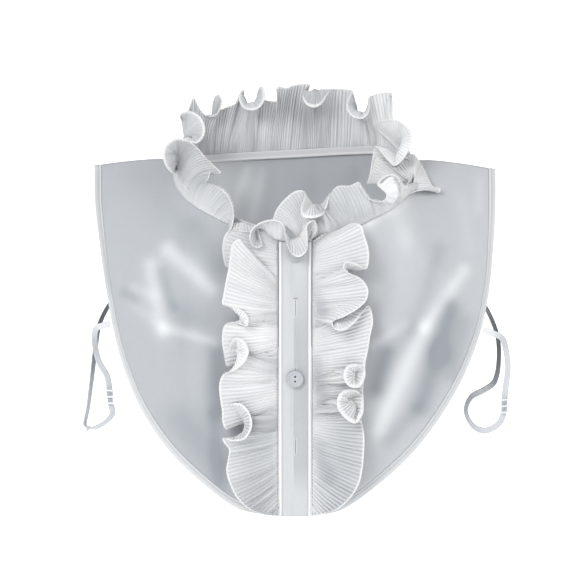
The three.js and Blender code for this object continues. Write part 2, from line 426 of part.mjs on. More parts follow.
// The straps' routes from the front hem, through the slider and round the slack loop to the back hem. turn is
// how far the strap's face is turned from facing the front, in degrees.
const LEFT_STRAP = [
  { x: -147, y: -35, z: -94.5, turn: -20 },
  { x: -153, y: -37, z: -95.5, turn: -10 },
  { x: -158.5, y: -37, z: -99, turn: -20 },
  { x: -159, y: -36, z: -112, turn: -30 },
  { x: -156, y: -35, z: -126, turn: -35 },
  { x: -150, y: -35, z: -137, turn: -30 },
  { x: -148, y: -35, z: -148, turn: -20 },
  { x: -147, y: -35, z: -160, turn: -15 },
  { x: -146, y: -33, z: -170, turn: -25 },
  { x: -153, y: -28, z: -179, turn: -40 },
  { x: -163, y: -23, z: -185, turn: -50 },
  { x: -168.5, y: -17, z: -184, turn: -60 },
  { x: -166, y: -13, z: -170, turn: -60 },
  { x: -163, y: -12, z: -148, turn: -55 },
  { x: -160, y: -14, z: -124, turn: -50 },
  { x: -157, y: -12, z: -104, turn: -50 },
  { x: -151, y: 4, z: -93, turn: -60 },
  { x: -144, y: 32, z: -90, turn: -70 },
  { x: -136, y: 58, z: -89, turn: -60 },
  { x: -126.5, y: 69.2, z: -91.5, turn: -25 },
];
const RIGHT_STRAP = [
  { x: 149.5, y: -34, z: -100, turn: 20 },
  { x: 157, y: -36, z: -102, turn: 10 },
  { x: 165, y: -36, z: -107, turn: 20 },
  { x: 168.5, y: -35, z: -120, turn: 30 },
  { x: 169.5, y: -34, z: -133, turn: 35 },
  { x: 168, y: -34, z: -147, turn: 30 },
  { x: 167, y: -34, z: -158, turn: 15 },
  { x: 166.5, y: -34, z: -168, turn: 15 },
  { x: 163, y: -32, z: -178, turn: 25 },
  { x: 153, y: -28, z: -185, turn: 40 },
  { x: 143, y: -23, z: -183, turn: 50 },
  { x: 137, y: -19, z: -172, turn: 55 },
  { x: 141, y: -16, z: -161, turn: 50 },
  { x: 152, y: -14, z: -155, turn: 45 },
  { x: 160, y: -14, z: -148, turn: 50 },
  { x: 163, y: -14, z: -132, turn: 55 },
  { x: 162, y: -10, z: -112, turn: 55 },
  { x: 155, y: 6, z: -96, turn: 60 },
  { x: 147, y: 32, z: -91, turn: 70 },
  { x: 136, y: 58, z: -89, turn: 60 },
  { x: 126.5, y: 69.2, z: -91.5, turn: 25 },
];
const SLIDERS = {
  slider_left: { x: -147.8, y: -35, z: -154, turn: -17 },
  slider_right: { x: 167.3, y: -34, z: -162, turn: 15 },
};

// Materials
const sheerCloth = () => new THREE.MeshStandardMaterial({ color: 0xe6e9ed, roughness: 0.75, metalness: 0 });
const pleatedCloth = () => new THREE.MeshStandardMaterial({ color: 0xedeff2, roughness: 0.7, metalness: 0 });
const elastic = () => new THREE.MeshStandardMaterial({ color: 0xdfe2e6, roughness: 0.6, metalness: 0 });
const plastic = () => new THREE.MeshStandardMaterial({ color: 0xeceef0, roughness: 0.3, metalness: 0 });

// Smooth value at t, from 0 to 1, through one column of a table
function through(rows, column, t) {
  const place = Math.min(Math.max(t, 0), 1) * (rows.length - 1);
  const i = Math.min(Math.floor(place), rows.length - 2);
  const f = place - i;
  const [a, b, c, d] = [i - 1, i, i + 1, i + 2].map(
    (k) => rows[Math.min(Math.max(k, 0), rows.length - 1)][column],
  );
  return b + 0.5 * f * (c - a + f * (2 * a - 5 * b + 4 * c - d + f * (3 * (b - c) + d - a)));
}

function pointThrough(rows, t) {
  return new THREE.Vector3(through(rows, 'x', t), through(rows, 'y', t), through(rows, 'z', t));
}

// A line that can be read by distance: points at even steps of t, and the length up to each
function measured(pointAt, steps) {
  const points = Array.from({ length: steps + 1 }, (_, i) => pointAt(i / steps));
  const lengths = [0];
  for (let i = 1; i <= steps; i++) lengths.push(lengths[i - 1] + points[i].distanceTo(points[i - 1]));
  const total = lengths[steps];
  const at = (distance) => {
    const wanted = Math.min(Math.max(distance, 0), total);
    let i = 1;
    while (i < steps && lengths[i] < wanted) i++;
    const f = (wanted - lengths[i - 1]) / (lengths[i] - lengths[i - 1]);
    return points[i - 1].clone().lerp(points[i], f);
  };
  return { at, total };
}

const halfNeck = measured((t) => pointThrough(NECK_SEAM, t), 240);

// The neck seam by distance from the centre back, to the right. Past the centre front it goes on round.
function neckAt(distance) {
  const round = distance - 2 * halfNeck.total * Math.round(distance / (2 * halfNeck.total));
  const point = halfNeck.at(halfNeck.total - Math.abs(round));
  if (round < 0) point.x = -point.x;
  return point;
}

// A closed sheet of cloth: a surface over u and v from 0 to 1, given thickness on both sides
function clothSolid(surface, acrossSteps, downSteps, thick) {
  const columns = acrossSteps + 1;
  const rows = downSteps + 1;
  const middle = [];
  for (let j = 0; j < rows; j++)
    for (let i = 0; i < columns; i++) middle.push(surface(i / acrossSteps, j / downSteps));
  const get = (i, j) =>
    middle[Math.min(Math.max(j, 0), rows - 1) * columns + Math.min(Math.max(i, 0), columns - 1)];
  const places = [];
  const faces = [];
  for (const side of [0.5, -0.5])
    for (let j = 0; j < rows; j++)
      for (let i = 0; i < columns; i++) {
        const alongU = get(i + 1, j).clone().sub(get(i - 1, j));
        const alongV = get(i, j + 1).clone().sub(get(i, j - 1));
        const normal = alongU.cross(alongV).normalize();
        const place = get(i, j).clone().addScaledVector(normal, side * thick);
        places.push(place.x, place.y, place.z);
      }
  const half = rows * columns;
  const quad = (a, b, c, d) => faces.push(a, b, c, a, c, d);
  const id = (i, j) => j * columns + i;
  for (let j = 0; j < downSteps; j++)
    for (let i = 0; i < acrossSteps; i++) {
      quad(id(i, j), id(i + 1, j), id(i + 1, j + 1), id(i, j + 1));
      quad(half + id(i, j), half + id(i, j + 1), half + id(i + 1, j + 1), half + id(i + 1, j));
    }
  const rim = [];
  for (let i = 0; i < acrossSteps; i++) rim.push(id(i, 0));
  for (let j = 0; j < downSteps; j++) rim.push(id(acrossSteps, j));
  for (let i = acrossSteps; i > 0; i--) rim.push(id(i, downSteps));
  for (let j = downSteps; j > 0; j--) rim.push(id(0, j));
  rim.forEach((a, k) => {
    const b = rim[(k + 1) % rim.length];
    quad(b, a, half + a, half + b);
  });
  const geometry = new THREE.BufferGeometry();
  geometry.setAttribute('position', new THREE.Float32BufferAttribute(places, 3));
  geometry.setIndex(faces);
  return geometry;
}

// Forward swell of the chest, at a drop below the front of the neck
function chestLine(x, drop) {
  const swell = CHEST.swell * Math.sin((Math.PI / 2) * (drop / CHEST.drop));
  return new THREE.Vector3(x, NECK_SEAM[0].y - swell, NECK_SEAM[0].z - drop);
}

const FRONT_DROP = NECK_SEAM[0].z - FRONT_EDGE_ROWS[0].z;

function foldHeight(folds, point) {
  let height = 0;
  for (const fold of folds) {
    const spanX = fold.toX - fold.fromX;
    const spanZ = fold.toZ - fold.fromZ;
    const length = spanX * spanX + spanZ * spanZ;
    const along = ((point.x - fold.fromX) * spanX + (point.z - fold.fromZ) * spanZ) / length;
    const held = Math.min(Math.max(along, 0), 1);
    const offX = point.x - fold.fromX - held * spanX;
    const offZ = point.z - fold.fromZ - held * spanZ;
    height += fold.height * Math.exp(-(offX * offX + offZ * offZ) / (fold.width * fold.width));
  }
  return height;
}

// A four-sided patch between its four edge curves
function patch(top, bottom, start, end) {
  const [topStart, topEnd, bottomStart, bottomEnd] = [top(0), top(1), bottom(0), bottom(1)];
  return (u, v) => {
    const point = top(u).multiplyScalar(1 - v).addScaledVector(bottom(u), v);
    point.addScaledVector(start(v), 1 - u).addScaledVector(end(v), u);
    point.addScaledVector(topStart, -(1 - u) * (1 - v)).addScaledVector(topEnd, -u * (1 - v));
    return point.addScaledVector(bottomStart, -(1 - u) * v).addScaledVector(bottomEnd, -u * v);
  };
}

// One half of the front bib. u runs from the placket to the shoulder seam, v from the neck to the outer edge.
function frontSurface(side) {
  const name = side < 0 ? 'left' : 'right';
  const neckStart = halfNeck.total - FRONT_EDGE;
  const shoulderAt = measured((t) => pointThrough(NECK_SEAM.slice(6), t), 60).total;
  const top = (u) => neckAt(side * (neckStart + (shoulderAt - neckStart) * u)).add(new THREE.Vector3(0, 0, -1));
  const bottom = (u) =>
    new THREE.Vector3(
      side * through(FRONT_EDGE_ROWS, name, u),
      through(FRONT_EDGE_ROWS, 'y', u),
      through(FRONT_EDGE_ROWS, 'z', u) - side * SHOULDER_DROP * u,
    );
  const start = (v) => {
    const from = top(0);
    const point = chestLine(side * FRONT_EDGE, v * FRONT_DROP);
    return point.addScaledVector(from.sub(chestLine(side * FRONT_EDGE, 0)), 1 - v);
  };
  const end = (v) => {
    const point = pointThrough(SHOULDER, v);
    return new THREE.Vector3(side * point.x, point.y, point.z - 1 + v - side * SHOULDER_DROP * v);
  };
  const smooth = patch(top, bottom, start, end);
  return (u, v) => {
    const point = smooth(u, v);
    const held = Math.min(1, 6 * u) * Math.min(1, 5 * v) * Math.min(1, 5 * (1 - u)) * (1 - 0.6 * v * v);
    const bulge = 10 * Math.sin(Math.PI * v) * Math.sin(Math.PI * Math.min(1, 1.1 * u)) ** 2;
    point.y -= held * foldHeight(FRONT_FOLDS, point) + 0.5 * bulge;
    point.z += 0.5 * bulge;
    return point;
  };
}

// The back bib. u runs from the left shoulder seam to the right one, v from the neck to the outer edge.
function backSurface() {
  const shoulderAt = measured((t) => pointThrough(NECK_SEAM.slice(6), t), 60).total - 1.2;
  const top = (u) => neckAt(shoulderAt * (2 * u - 1)).add(new THREE.Vector3(0, 0.6, -1));
  const bottom = (u) => {
    const t = Math.abs(2 * u - 1);
    const point = pointThrough(BACK_EDGE_ROWS, t);
    const side = u < 0.5 ? -1 : 1;
    return new THREE.Vector3(side * point.x, point.y, point.z - side * SHOULDER_DROP * t);
  };
  const seam = (side) => (v) => {
    const point = pointThrough(SHOULDER, v);
    const drop = -1 + v - side * SHOULDER_DROP * v;
    return new THREE.Vector3(side * point.x, point.y + 2, point.z + drop);
  };
  const smooth = patch(top, bottom, seam(-1), seam(1));
  return (u, v) => {
    const point = smooth(u, v);
    const held = Math.min(1, 6 * v) * Math.min(1, 8 * u) * Math.min(1, 8 * (1 - u));
    const swell = Math.sin(Math.PI * v) * Math.sin(Math.PI * u);
    point.y += 8 * swell + held * foldHeight(BACK_FOLDS, point);
    return point;
  };
}

// A surface's inner part, up to a distance from its outer edge, and the band from there to the edge
function shareLeft(surface, u, distance) {
  let length = 0;
  const steps = 12;
  for (let k = 0; k < steps; k++) length += surface(u, k / steps).distanceTo(surface(u, (k + 1) / steps));
  return 1 - distance / length;
}
const inside = (surface, distance) => (u, v) => surface(u, v * shareLeft(surface, u, distance));
const edgeBand = (surface, distance) => (u, v) => {
  const share = shareLeft(surface, u, distance);
  return surface(u, share + (1 - share) * v);
};

// The neckband: a narrow tape standing just inside the seam, open at the centre front
function neckbandSurface() {
  const reach = halfNeck.total - FRONT_EDGE;
  return (u, v) => {
    const distance = reach * (1 - 2 * u);
    const point = neckAt(distance);
    const inward = outwardAt(distance).multiplyScalar(-BAND.inset);
    return point.add(inward).add(new THREE.Vector3(0, 0, BAND.lift + BAND.height * (1 - v)));
  };
}

// Level direction away from the neck, across the seam
function outwardAt(distance) {
  const along = neckAt(distance + 1).sub(neckAt(distance - 1));
  return new THREE.Vector3(along.y, -along.x, 0).normalize().negate();
}

// A ruffle's free edge, smooth through its rows, by the share of its length from 0 to 1
function freeEdge(rows) {
  const names = ['at', 'x', 'y', 'z', 'seen', 'bulge', 'lip'];
  const height = ({ seen, y }) => (seen - y * Math.sin(VIEW_TILT)) / Math.cos(VIEW_TILT);
  const knots = rows.map((row) => ({ ...row, z: height(row) }));
  const place = ({ x, y, z }) => new THREE.Vector3(x, y, z);
  const last = knots.length - 1;
  const gaps = knots.slice(1).map((knot, i) => Math.sqrt(place(knot).distanceTo(place(knots[i]))));
  const slope = (name, i) => (knots[i + 1][name] - knots[i][name]) / gaps[i];
  const tangent = (name, i) => {
    if (i === 0) return slope(name, 0);
    if (i === last) return slope(name, last - 1);
    return (slope(name, i - 1) * gaps[i] + slope(name, i) * gaps[i - 1]) / (gaps[i - 1] + gaps[i]);
  };
  const between = (name, i, f) => {
    const rise = (2 * f - 3) * f * f;
    const leave = gaps[i] * tangent(name, i) * f * (1 - f) ** 2;
    const arrive = gaps[i] * tangent(name, i + 1) * f * f * (f - 1);
    return knots[i][name] * (1 + rise) - knots[i + 1][name] * rise + leave + arrive;
  };
  const at = (t) => {
    const whole = Math.min(Math.max(t, 0), 1) * last;
    const i = Math.min(Math.floor(whole), last - 1);
    return Object.fromEntries(names.map((name) => [name, between(name, i, whole - i)]));
  };
  const steps = 12 * last;
  const lengths = [0];
  for (let k = 1; k <= steps; k++) {
    lengths.push(lengths[k - 1] + place(at(k / steps)).distanceTo(place(at((k - 1) / steps))));
  }
  return (share) => {
    const wanted = Math.min(Math.max(share, 0), 1) * lengths[steps];
    let k = 1;
    while (k < steps && lengths[k] < wanted) k++;
    return at((k - 1 + (wanted - lengths[k - 1]) / (lengths[k] - lengths[k - 1])) / steps);
  };
}

// The cloth between a foot on the seam and the free edge: over a knee, and over a rolled lip where there is one
function ruffleSurface(rows, gathers, footAt, kneeAt, outAt, turned) {
  const edge = freeEdge(rows);
  const nearby = 0.001;
  return (u, v) => {
    const row = edge(u);
    const [before, after] = [edge(u - nearby), edge(u + nearby)];
    const ahead = new THREE.Vector3(after.x - before.x, 0, after.seen - before.seen).normalize();
    const aside = new THREE.Vector3(-ahead.z, 0, ahead.x);
    const foot = footAt(row.at);
    const tip = new THREE.Vector3(row.x, row.y, row.z);
    const knee = kneeAt(foot, tip, row.bulge);
    const roll = LIP.reach * row.lip + LIP.start * THREE.MathUtils.clamp(row.lip / 2, -1, 1);
    const held = tip.clone().addScaledVector(knee, 2).divideScalar(3);
    const over = held.lerp(tip, Math.min(Math.abs(row.lip) / LIP.start, 1)).addScaledVector(aside, roll);
    over.y += LIP.back * Math.abs(roll);
    const rise = foot.clone().addScaledVector(knee, 2).divideScalar(3);
    const h = Math.sin((Math.PI / 2) * (turned ? v : 1 - v)) ** ROW_CROWDING;
    const turn = (2 * Math.PI * row.at) / gathers.pitch;
    const wave = Math.sin(turn + 1.4 * Math.sin(0.31 * turn) + 0.9 * Math.sin(0.173 * turn + 1));
    const puff = gathers.height * (1 + wave) * Math.min(h / gathers.begin, 1) * (1 - h) ** gathers.fade;
    const point = foot.multiplyScalar((1 - h) ** 3).addScaledVector(rise, 3 * h * (1 - h) ** 2);
    point.addScaledVector(over, 3 * h * h * (1 - h)).addScaledVector(tip, h ** 3);
    return point.addScaledVector(outAt(row.at), puff);
  };
}

// The stand ruffle rises from the neck seam, and its left end steps out to pass over the right one
function collarSurface() {
  const { out, up, overlap, step } = COLLAR_FOOT;
  const footAt = (at) => {
    const over = THREE.MathUtils.smoothstep(-at, halfNeck.total - 2 * overlap, halfNeck.total - overlap);
    return neckAt(at).addScaledVector(outwardAt(at), out + step * over).add(new THREE.Vector3(0, 0, up));
  };
  const kneeAt = (foot, tip, bulge) => {
    const { out: away, up: rise } = COLLAR_KNEE;
    const reach = tip.clone().sub(foot).multiply(new THREE.Vector3(away, away, rise));
    return foot.clone().add(reach).add(new THREE.Vector3(0, 0, bulge));
  };
  return ruffleSurface(COLLAR_EDGE, COLLAR_GATHERS, footAt, kneeAt, outwardAt, false);
}

// A frill beside the placket reaches sideways over the bib
function frillSurface(side, rows) {
  const { aside, forward } = FRILL_FOOT;
  const footAt = (at) => chestLine(side * (FRONT_EDGE + aside), at).add(new THREE.Vector3(0, -forward, 0));
  const kneeAt = (foot, tip, bulge) => foot.clone().lerp(tip, 0.5).add(new THREE.Vector3(0, -bulge, 0));
  const outAt = () => new THREE.Vector3(0, -1, 0);
  return ruffleSurface(rows, FRILL_GATHERS, footAt, kneeAt, outAt, side < 0);
}

// A strip down the centre front, from the neck seam to the bottom edge
function centreSurface(width, back) {
  return (u, v) => {
    const point = chestLine(width * (u - 0.5), 1.5 + v * (FRONT_DROP - 1.5));
    point.y += back;
    return point;
  };
}

// A ribbon along a route, its face turned about the upright
function ribbonSurface(rows, width) {
  return (u, v) => {
    const point = pointThrough(rows, u);
    const ahead = pointThrough(rows, Math.min(u + 0.01, 1)).sub(pointThrough(rows, Math.max(u - 0.01, 0)));
    const turn = THREE.MathUtils.degToRad(through(rows, 'turn', u));
    const face = new THREE.Vector3(-Math.sin(turn), -Math.cos(turn), 0);
    const across = face.cross(ahead).normalize();
    return point.addScaledVector(across, width * (v - 0.5));
  };
}

function solidOf(geometry) {
  const bare = geometry.clone();
  bare.deleteAttribute('normal');
  bare.deleteAttribute('uv');
  const merged = mergeVertices(bare, 1e-4);
  return new wasm.Manifold(
    new wasm.Mesh({
      numProp: 3,
      vertProperties: merged.attributes.position.array,
      triVerts: new Uint32Array(merged.index.array),
    }),
  );
}

function geometryOf(solid) {
  const mesh = solid.getMesh();
  const geometry = new THREE.BufferGeometry();
  geometry.setAttribute('position', new THREE.Float32BufferAttribute(mesh.vertProperties, 3));
  geometry.setIndex([...mesh.triVerts]);
  return geometry;
}

function cutBy(geometry, cutters) {
  let solid = solidOf(geometry);
  for (const cutter of cutters) solid = solid.subtract(solidOf(cutter));
  return geometryOf(solid);
}

// How far the centre front leans at a drop, as a turn about X
function leanAt(drop) {
  const slope = chestLine(0, drop + 1).sub(chestLine(0, drop - 1));
  return Math.atan2(slope.y, -slope.z);
}

function placketGeometry() {
  const strip = clothSolid(centreSurface(PLACKET_WIDTH, -PLACKET_FORWARD), 4, 18, PLACKET_CLOTH);
  const slits = BUTTONHOLE.drops.map((drop) => {
    const slit = new THREE.BoxGeometry(BUTTONHOLE.width, 8, BUTTONHOLE.length);
    slit.rotateX(leanAt(drop));
    const place = chestLine(0.4, drop);
    return slit.translate(place.x, place.y - PLACKET_FORWARD, place.z);
  });
  return cutBy(strip, slits);
}

// A button lies on its back, its axis along Z: a disc with a rim round a shallow dish, and two holes
function buttonGeometry() {
  const { radius, thick, dish, rim, hole, pitch } = BUTTON;
  const profile = [
    [0, 0],
    [radius - 0.7, 0],
    [radius, 0.7],
    [radius, thick - 0.6],
    [radius - 0.6, thick],
    [radius - rim, thick],
    [radius - rim - 0.9, thick - dish],
    [0, thick - dish],
  ].map(([r, z]) => new THREE.Vector2(r, z));
  const disc = new THREE.LatheGeometry(profile, 24).rotateX(Math.PI / 2);
  const holes = [-0.5, 0.5].map((place) => {
    const drill = new THREE.CylinderGeometry(hole, hole, 4 * thick, 8).rotateX(Math.PI / 2);
    return drill.translate(0, place * pitch, 0);
  });
  return cutBy(disc, holes);
}

// A slider: a flat frame with a bar across its middle, its two windows cut through
function sliderGeometry() {
  const { width, length, thick, bar } = SLIDER;
  const outline = new THREE.Shape();
  outline.moveTo(-width / 2, -length / 2).lineTo(width / 2, -length / 2);
  outline.lineTo(width / 2, length / 2).lineTo(-width / 2, length / 2);
  const window = (length - 3 * bar) / 2;
  for (const side of [-1, 1]) {
    const low = side > 0 ? bar / 2 : -bar / 2 - window;
    const hole = new THREE.Path();
    hole.moveTo(-width / 2 + bar, low).lineTo(-width / 2 + bar, low + window);
    hole.lineTo(width / 2 - bar, low + window).lineTo(width / 2 - bar, low);
    outline.holes.push(hole);
  }
  return new THREE.ExtrudeGeometry(outline, { depth: thick, bevelEnabled: false }).translate(0, 0, -thick / 2);
}

const dickey = new THREE.Group();

function add(name, geometry, material) {
  const mesh = new THREE.Mesh(geometry, material);
  mesh.name = name;
  dickey.add(mesh);
  return mesh;
}

for (const [name, side] of [['left', -1], ['right', 1]]) {
  const surface = frontSurface(side);
  const outside = side > 0 ? surface : (u, v) => surface(1 - u, v);
  add(`front_panel_${name}`, clothSolid(inside(outside, HEM_WIDTH + GAP), 16, 10, CLOTH), sheerCloth());
  add(`front_hem_${name}`, clothSolid(edgeBand(outside, HEM_WIDTH), 25, 1, HEM_CLOTH), sheerCloth());
}

const bib = backSurface();
const backBib = (u, v) => bib(1 - u, v);
add('back_panel', clothSolid(inside(backBib, HEM_WIDTH + GAP), 20, 6, CLOTH), sheerCloth());
add('back_hem', clothSolid(edgeBand(backBib, HEM_WIDTH), 28, 1, HEM_CLOTH), sheerCloth());

add('neckband', clothSolid(neckbandSurface(), 48, 1, BAND.thick), sheerCloth());
add('collar_ruffle', clothSolid(collarSurface(), 236, 3, RUFFLE_CLOTH), pleatedCloth());
add('jabot_ruffle_left', clothSolid(frillSurface(-1, LEFT_FRILL_EDGE), 87, 3, RUFFLE_CLOTH), pleatedCloth());
add('jabot_ruffle_right', clothSolid(frillSurface(1, RIGHT_FRILL_EDGE), 93, 3, RUFFLE_CLOTH), pleatedCloth());

add('placket', placketGeometry(), sheerCloth());
add('under_placket', clothSolid(centreSurface(FACING_WIDTH, FACING_BACK), 2, 14, FACING_CLOTH), sheerCloth());

for (const [name, drop] of Object.entries(BUTTON_DROPS)) {
  const button = add(name, buttonGeometry(), plastic());
  const place = chestLine(0, drop);
  button.position.set(0, place.y - PLACKET_FORWARD - PLACKET_CLOTH / 2 - GAP, place.z);
  button.rotation.x = Math.PI / 2 + leanAt(drop);
}

add('strap_left', clothSolid(ribbonSurface(LEFT_STRAP, STRAP.width), 46, 1, STRAP.thick), elastic());
add('strap_right', clothSolid(ribbonSurface(RIGHT_STRAP, STRAP.width), 46, 1, STRAP.thick), elastic());
for (const [name, { x, y, z, turn }] of Object.entries(SLIDERS)) {
  const slider = add(name, sliderGeometry(), plastic());
  slider.position.set(x, y - SLIDER.forward, z);
  slider.rotation.set(Math.PI / 2, 0, 0);
  slider.rotation.y = THREE.MathUtils.degToRad(turn);
}

export default dickey;
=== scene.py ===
# The dickey as worn: sheer bib, pleated stand ruffle, pleated frills, button placket and side elastics.
import math
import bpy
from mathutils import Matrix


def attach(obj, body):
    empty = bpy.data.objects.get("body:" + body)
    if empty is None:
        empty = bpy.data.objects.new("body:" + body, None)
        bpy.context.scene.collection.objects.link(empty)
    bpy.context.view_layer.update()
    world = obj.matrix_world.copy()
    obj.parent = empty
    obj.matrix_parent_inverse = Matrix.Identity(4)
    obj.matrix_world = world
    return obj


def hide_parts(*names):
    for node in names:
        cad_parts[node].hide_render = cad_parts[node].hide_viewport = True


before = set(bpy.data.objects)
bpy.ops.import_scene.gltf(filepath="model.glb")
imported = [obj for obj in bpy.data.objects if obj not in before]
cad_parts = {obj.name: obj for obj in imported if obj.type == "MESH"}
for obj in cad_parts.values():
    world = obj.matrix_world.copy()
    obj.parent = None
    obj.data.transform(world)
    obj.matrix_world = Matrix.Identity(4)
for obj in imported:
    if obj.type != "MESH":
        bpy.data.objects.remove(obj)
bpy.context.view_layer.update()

from types import SimpleNamespace as Sizes

import bpy
import numpy as np
from mathutils import Vector

MM = 0.001

# Camera and light
TILT = math.radians(15)
CAMERA = Sizes(aim=(-5.6, 0, -74.5), distance=4.2, frame_width=0.4608, sensor=36, reach=100)
FLOOR = Sizes(drop=-0.45, size=14, white=0.9, rough=0.9, glow=0.45)
SKY = 0.95
LAMPS = {"key": ((-1.1, -1.6, 1.5), 1.0, 36), "fill": ((1.6, -1.2, 0.6), 1.6, 8)}
LAMP_AIM = (0, 0, -0.08)

# Cloth sizes in millimetres
CLOTH = 0.5
CHEST = Sizes(swell=21, drop=170)
SHOULDER_DROP = 1.6
BACK_LEAN = Sizes(from_y=30, over=18, lift=0.6, slope=0.055)
PLACKET = Sizes(width=25.2, thick=1.3, forward=1.1, gap=0.6, top=1.5)
FACING = Sizes(width=23.6, thick=0.8, back=1.5)
FRONT_EDGE = PLACKET.width / 2 + PLACKET.gap
BAND = Sizes(height=6.4, thick=0.8, inset=1.2, lift=-0.6)
STRAP = Sizes(width=4.8, thick=0.9)

# The bibs: how far they swell, how they hang below the seams, and how soon their folds start off each edge
SWELL = Sizes(front=10, back=8, front_reach=1.1, share=0.5)
BIB_SEAM = Sizes(drop=1, behind_neck=0.6, behind_shoulder=2, short=1.2)
FRONT_HELD = Sizes(placket=6, neck=5, shoulder=5, hem=0.6)
BACK_HELD = Sizes(neck=6, shoulder=8)
HEM = Sizes(width=7, gap=0.2, thick=1.3, ridge=0.45)
STREAK_HEIGHT = 2.0

# The ruffles: their cloth, the bead along the free edge, the accordion pleats and the gathers above the seam
RUFFLE = Sizes(thick=0.34, depth=42, rows=17)
BEAD = Sizes(thick=1.05, width=1.1, full=0.4, step=0.012, pleat=0.45)
PLEAT_PITCH = {"collar": 2.8, "frill": 3.3}
PLEATS = Sizes(wave=(-1, 0, 1, 0), uneven=0.25, shallow=0.7, deep=1.4, deepen=1.5, least=0.4)
CRISP = Sizes(back_reach=112, over=20, frill=0.45, rise=1.5, at_edge=0.7)
# Low on the frills, where they fan out, the pleats run deeper and the painted shade in their grooves darker
FAN = Sizes(start=172, over=26, deeper=0.8, darker=0.7)
GATHERS = {"collar": (9.6, 1.3), "frill": (8.4, 1.3)}
GATHER_SHAPE = Sizes(mean=0.75, swing=0.35, rate=0.47, phase=2, full_at=0.25, fade=1.2, gain=1.3)
SEAM = Sizes(fade=0.05, thick=1.3, stitch_pitch=2.6, between=0.6)
LIP = Sizes(reach=2.8, jump=6, jump_by=2, turned_by=6, back=0.25)
COLLAR_FOOT = Sizes(out=1.2, up=-1.2, overlap=13, step=2.6)
COLLAR_KNEE = (0.3, 0.3, 0.5)
FRILL_FOOT = Sizes(out=0.4, forward=2.2)

# The placket's ridges, crease and buttonholes; the crease's tone and the shade's tone are painted shade
BUTTONHOLES = Sizes(length=12.4, slit=0.3, drops=(53, 106, 163.5), middle=0.4)
HOLE_RIM = Sizes(width=0.9, end=0.7, height=0.25, tone=0.22)
STAND_FOLD = Sizes(inset=1.0, width=0.7, height=0.7)
STAND_CREASE = Sizes(at=-2.2, width=1.6, wave=17, depth=0.5, tone=-0.08)
STAND_WAVE = Sizes(height=0.35, down=23, across=4)
STAND_SHADE = Sizes(from_x=-1, to_x=10, from_drop=20, over=60, to_drop=205, fade=25, tone=-0.22)

RIM_STEPS = np.array([0, 0.25, 0.5, 0.8, 1.2])
HOLE_END_STEPS = np.array([-0.9, -0.5, 0, 0.5, 0.9])
FOLD_STEPS = np.array([0.4, 0.8, 1.2, 1.6, 2.0, 2.4])

# How finely each sheet is divided, across and down, and each curve whose length is measured, and then the
# scale of the grain and how far it shades and roughens the finishes
FRONT_CELLS = (130, 100)
BACK_CELLS = (130, 70)
HEM_CELLS = (170, 14)
TAPE_CELLS = (240, 9)
STAND_CELLS = (34, 160)
FACING_CELLS = (17, 90)
STRAP_CELLS = (220, 7)
FINE = Sizes(neck=241, shoulder=61, down_bib=25, each_turn=12)
GRAIN = Sizes(weave=2600, slub=240, cloud=900, height=0.00012)
CREPE = Sizes(sheen=0.12, weave=0.10, slub=0.06, slub_bump=0.6)
SMOOTH_CREPE = Sizes(rough=0.82, bump=0.35)
# The pleated crepe darkens its pleats' grooves with painted shade
SET_CREPE = Sizes(rough=0.75, bump=0.3, groove=0.40, seam=0.5)
PLASTIC = Sizes(dark=0.93, uneven=0.08)
FIRST_SEED = 3

# How light each part is painted where it has no streak, from 0 to 1: the left front and the inside of the
# back are set lower than the right front as painted shade
PLAIN_TONE = {"left": 0.27, "right": 0.42, "back": 0.36, "collar": 0.50, "frill": 0.62}
EDGE_TONE = Sizes(front_hem=0.30, back_hem=0.36, tape=0.27, stand=0.30, facing=0.5)


def table(columns, *rows):
    """A table of numbers with named columns. A row may leave out its last number where that is 0."""
    return {name: np.array([(*row, 0)[k] for row in rows], float) for k, name in enumerate(columns.split())}


# How the tubes of a gathered seam wander off their even pitch
GATHER_WANDER = table("rate size phase", (0.31, 1.4, 0), (0.173, 0.9, 1))

# Bands along the hem, the neck tape and the placket: where each lies on the way across, how wide it is, and
# its height as a share of the ridge or its tone. The placket's are in millimetres from its edges.
HEM_RIDGES = table("at width height", (0.12, 0.08, 1), (0.95, 0.1, 0.5))
# The hem's and the placket's tone bands are painted light and shade: a highlight along each raised fold and
# shade just past it
HEM_BANDS = table("at width tone", (0.12, 0.09, 0.34), (0.32, 0.08, -0.22), (0.9, 0.2, 0.12))
TAPE_BANDS = table("at width tone", (0.22, 0.08, 0.35), (1, 0.1, 0.12))
STAND_BANDS = table("at width tone", (0.9, 0.7, 0.50), (2.5, 0.45, -0.30))

# The neck seam from the centre front round one side to the centre back
NECK_SEAM = table(
    "x y z",
    (0, -57, -19.5),
    (28, -54.5, -15.5),
    (54, -46.7, -7.4),
    (79, -30, 2.4),
    (92, -11, 11),
    (95, 9, 17.5),
    (89, 30, 22.5),
    (68, 46, 21.4),
    (35, 54, 20.2),
    (0, 56, 19.6),
)
NECK_SHOULDER_ROW = 6

# The shoulder seam from the neck to the tip
SHOULDER = table("x y z", (89, 30, 22.5), (108, 32, 23.5), (135, 35, 20), (161, 38, 15))

# The front bib's outer edge from the bottom of the placket up to the shoulder tip
FRONT_OUTLINE = table(
    "left right y z",
    (13.2, 13.2, -75.6, -241.6),
    (45, 38, -73.5, -236.5),
    (75, 68, -68, -216),
    (101, 95, -61, -191),
    (121, 117, -53, -163),
    (135, 135, -44, -132),
    (144, 147, -35, -101),
    (150, 154, -25, -70),
    (155, 157.5, -11, -40),
    (159.5, 160, 10, -10),
    (161, 161, 38, 15),
)

# The back bib's outer edge from the centre back up to the shoulder tip
BACK_OUTLINE = table(
    "x y z",
    (0, 92, -150.5),
    (58, 88, -145),
    (102, 80, -124),
    (130, 72, -96),
    (147, 65, -62),
    (156, 57, -26),
    (161, 40, 14),
)

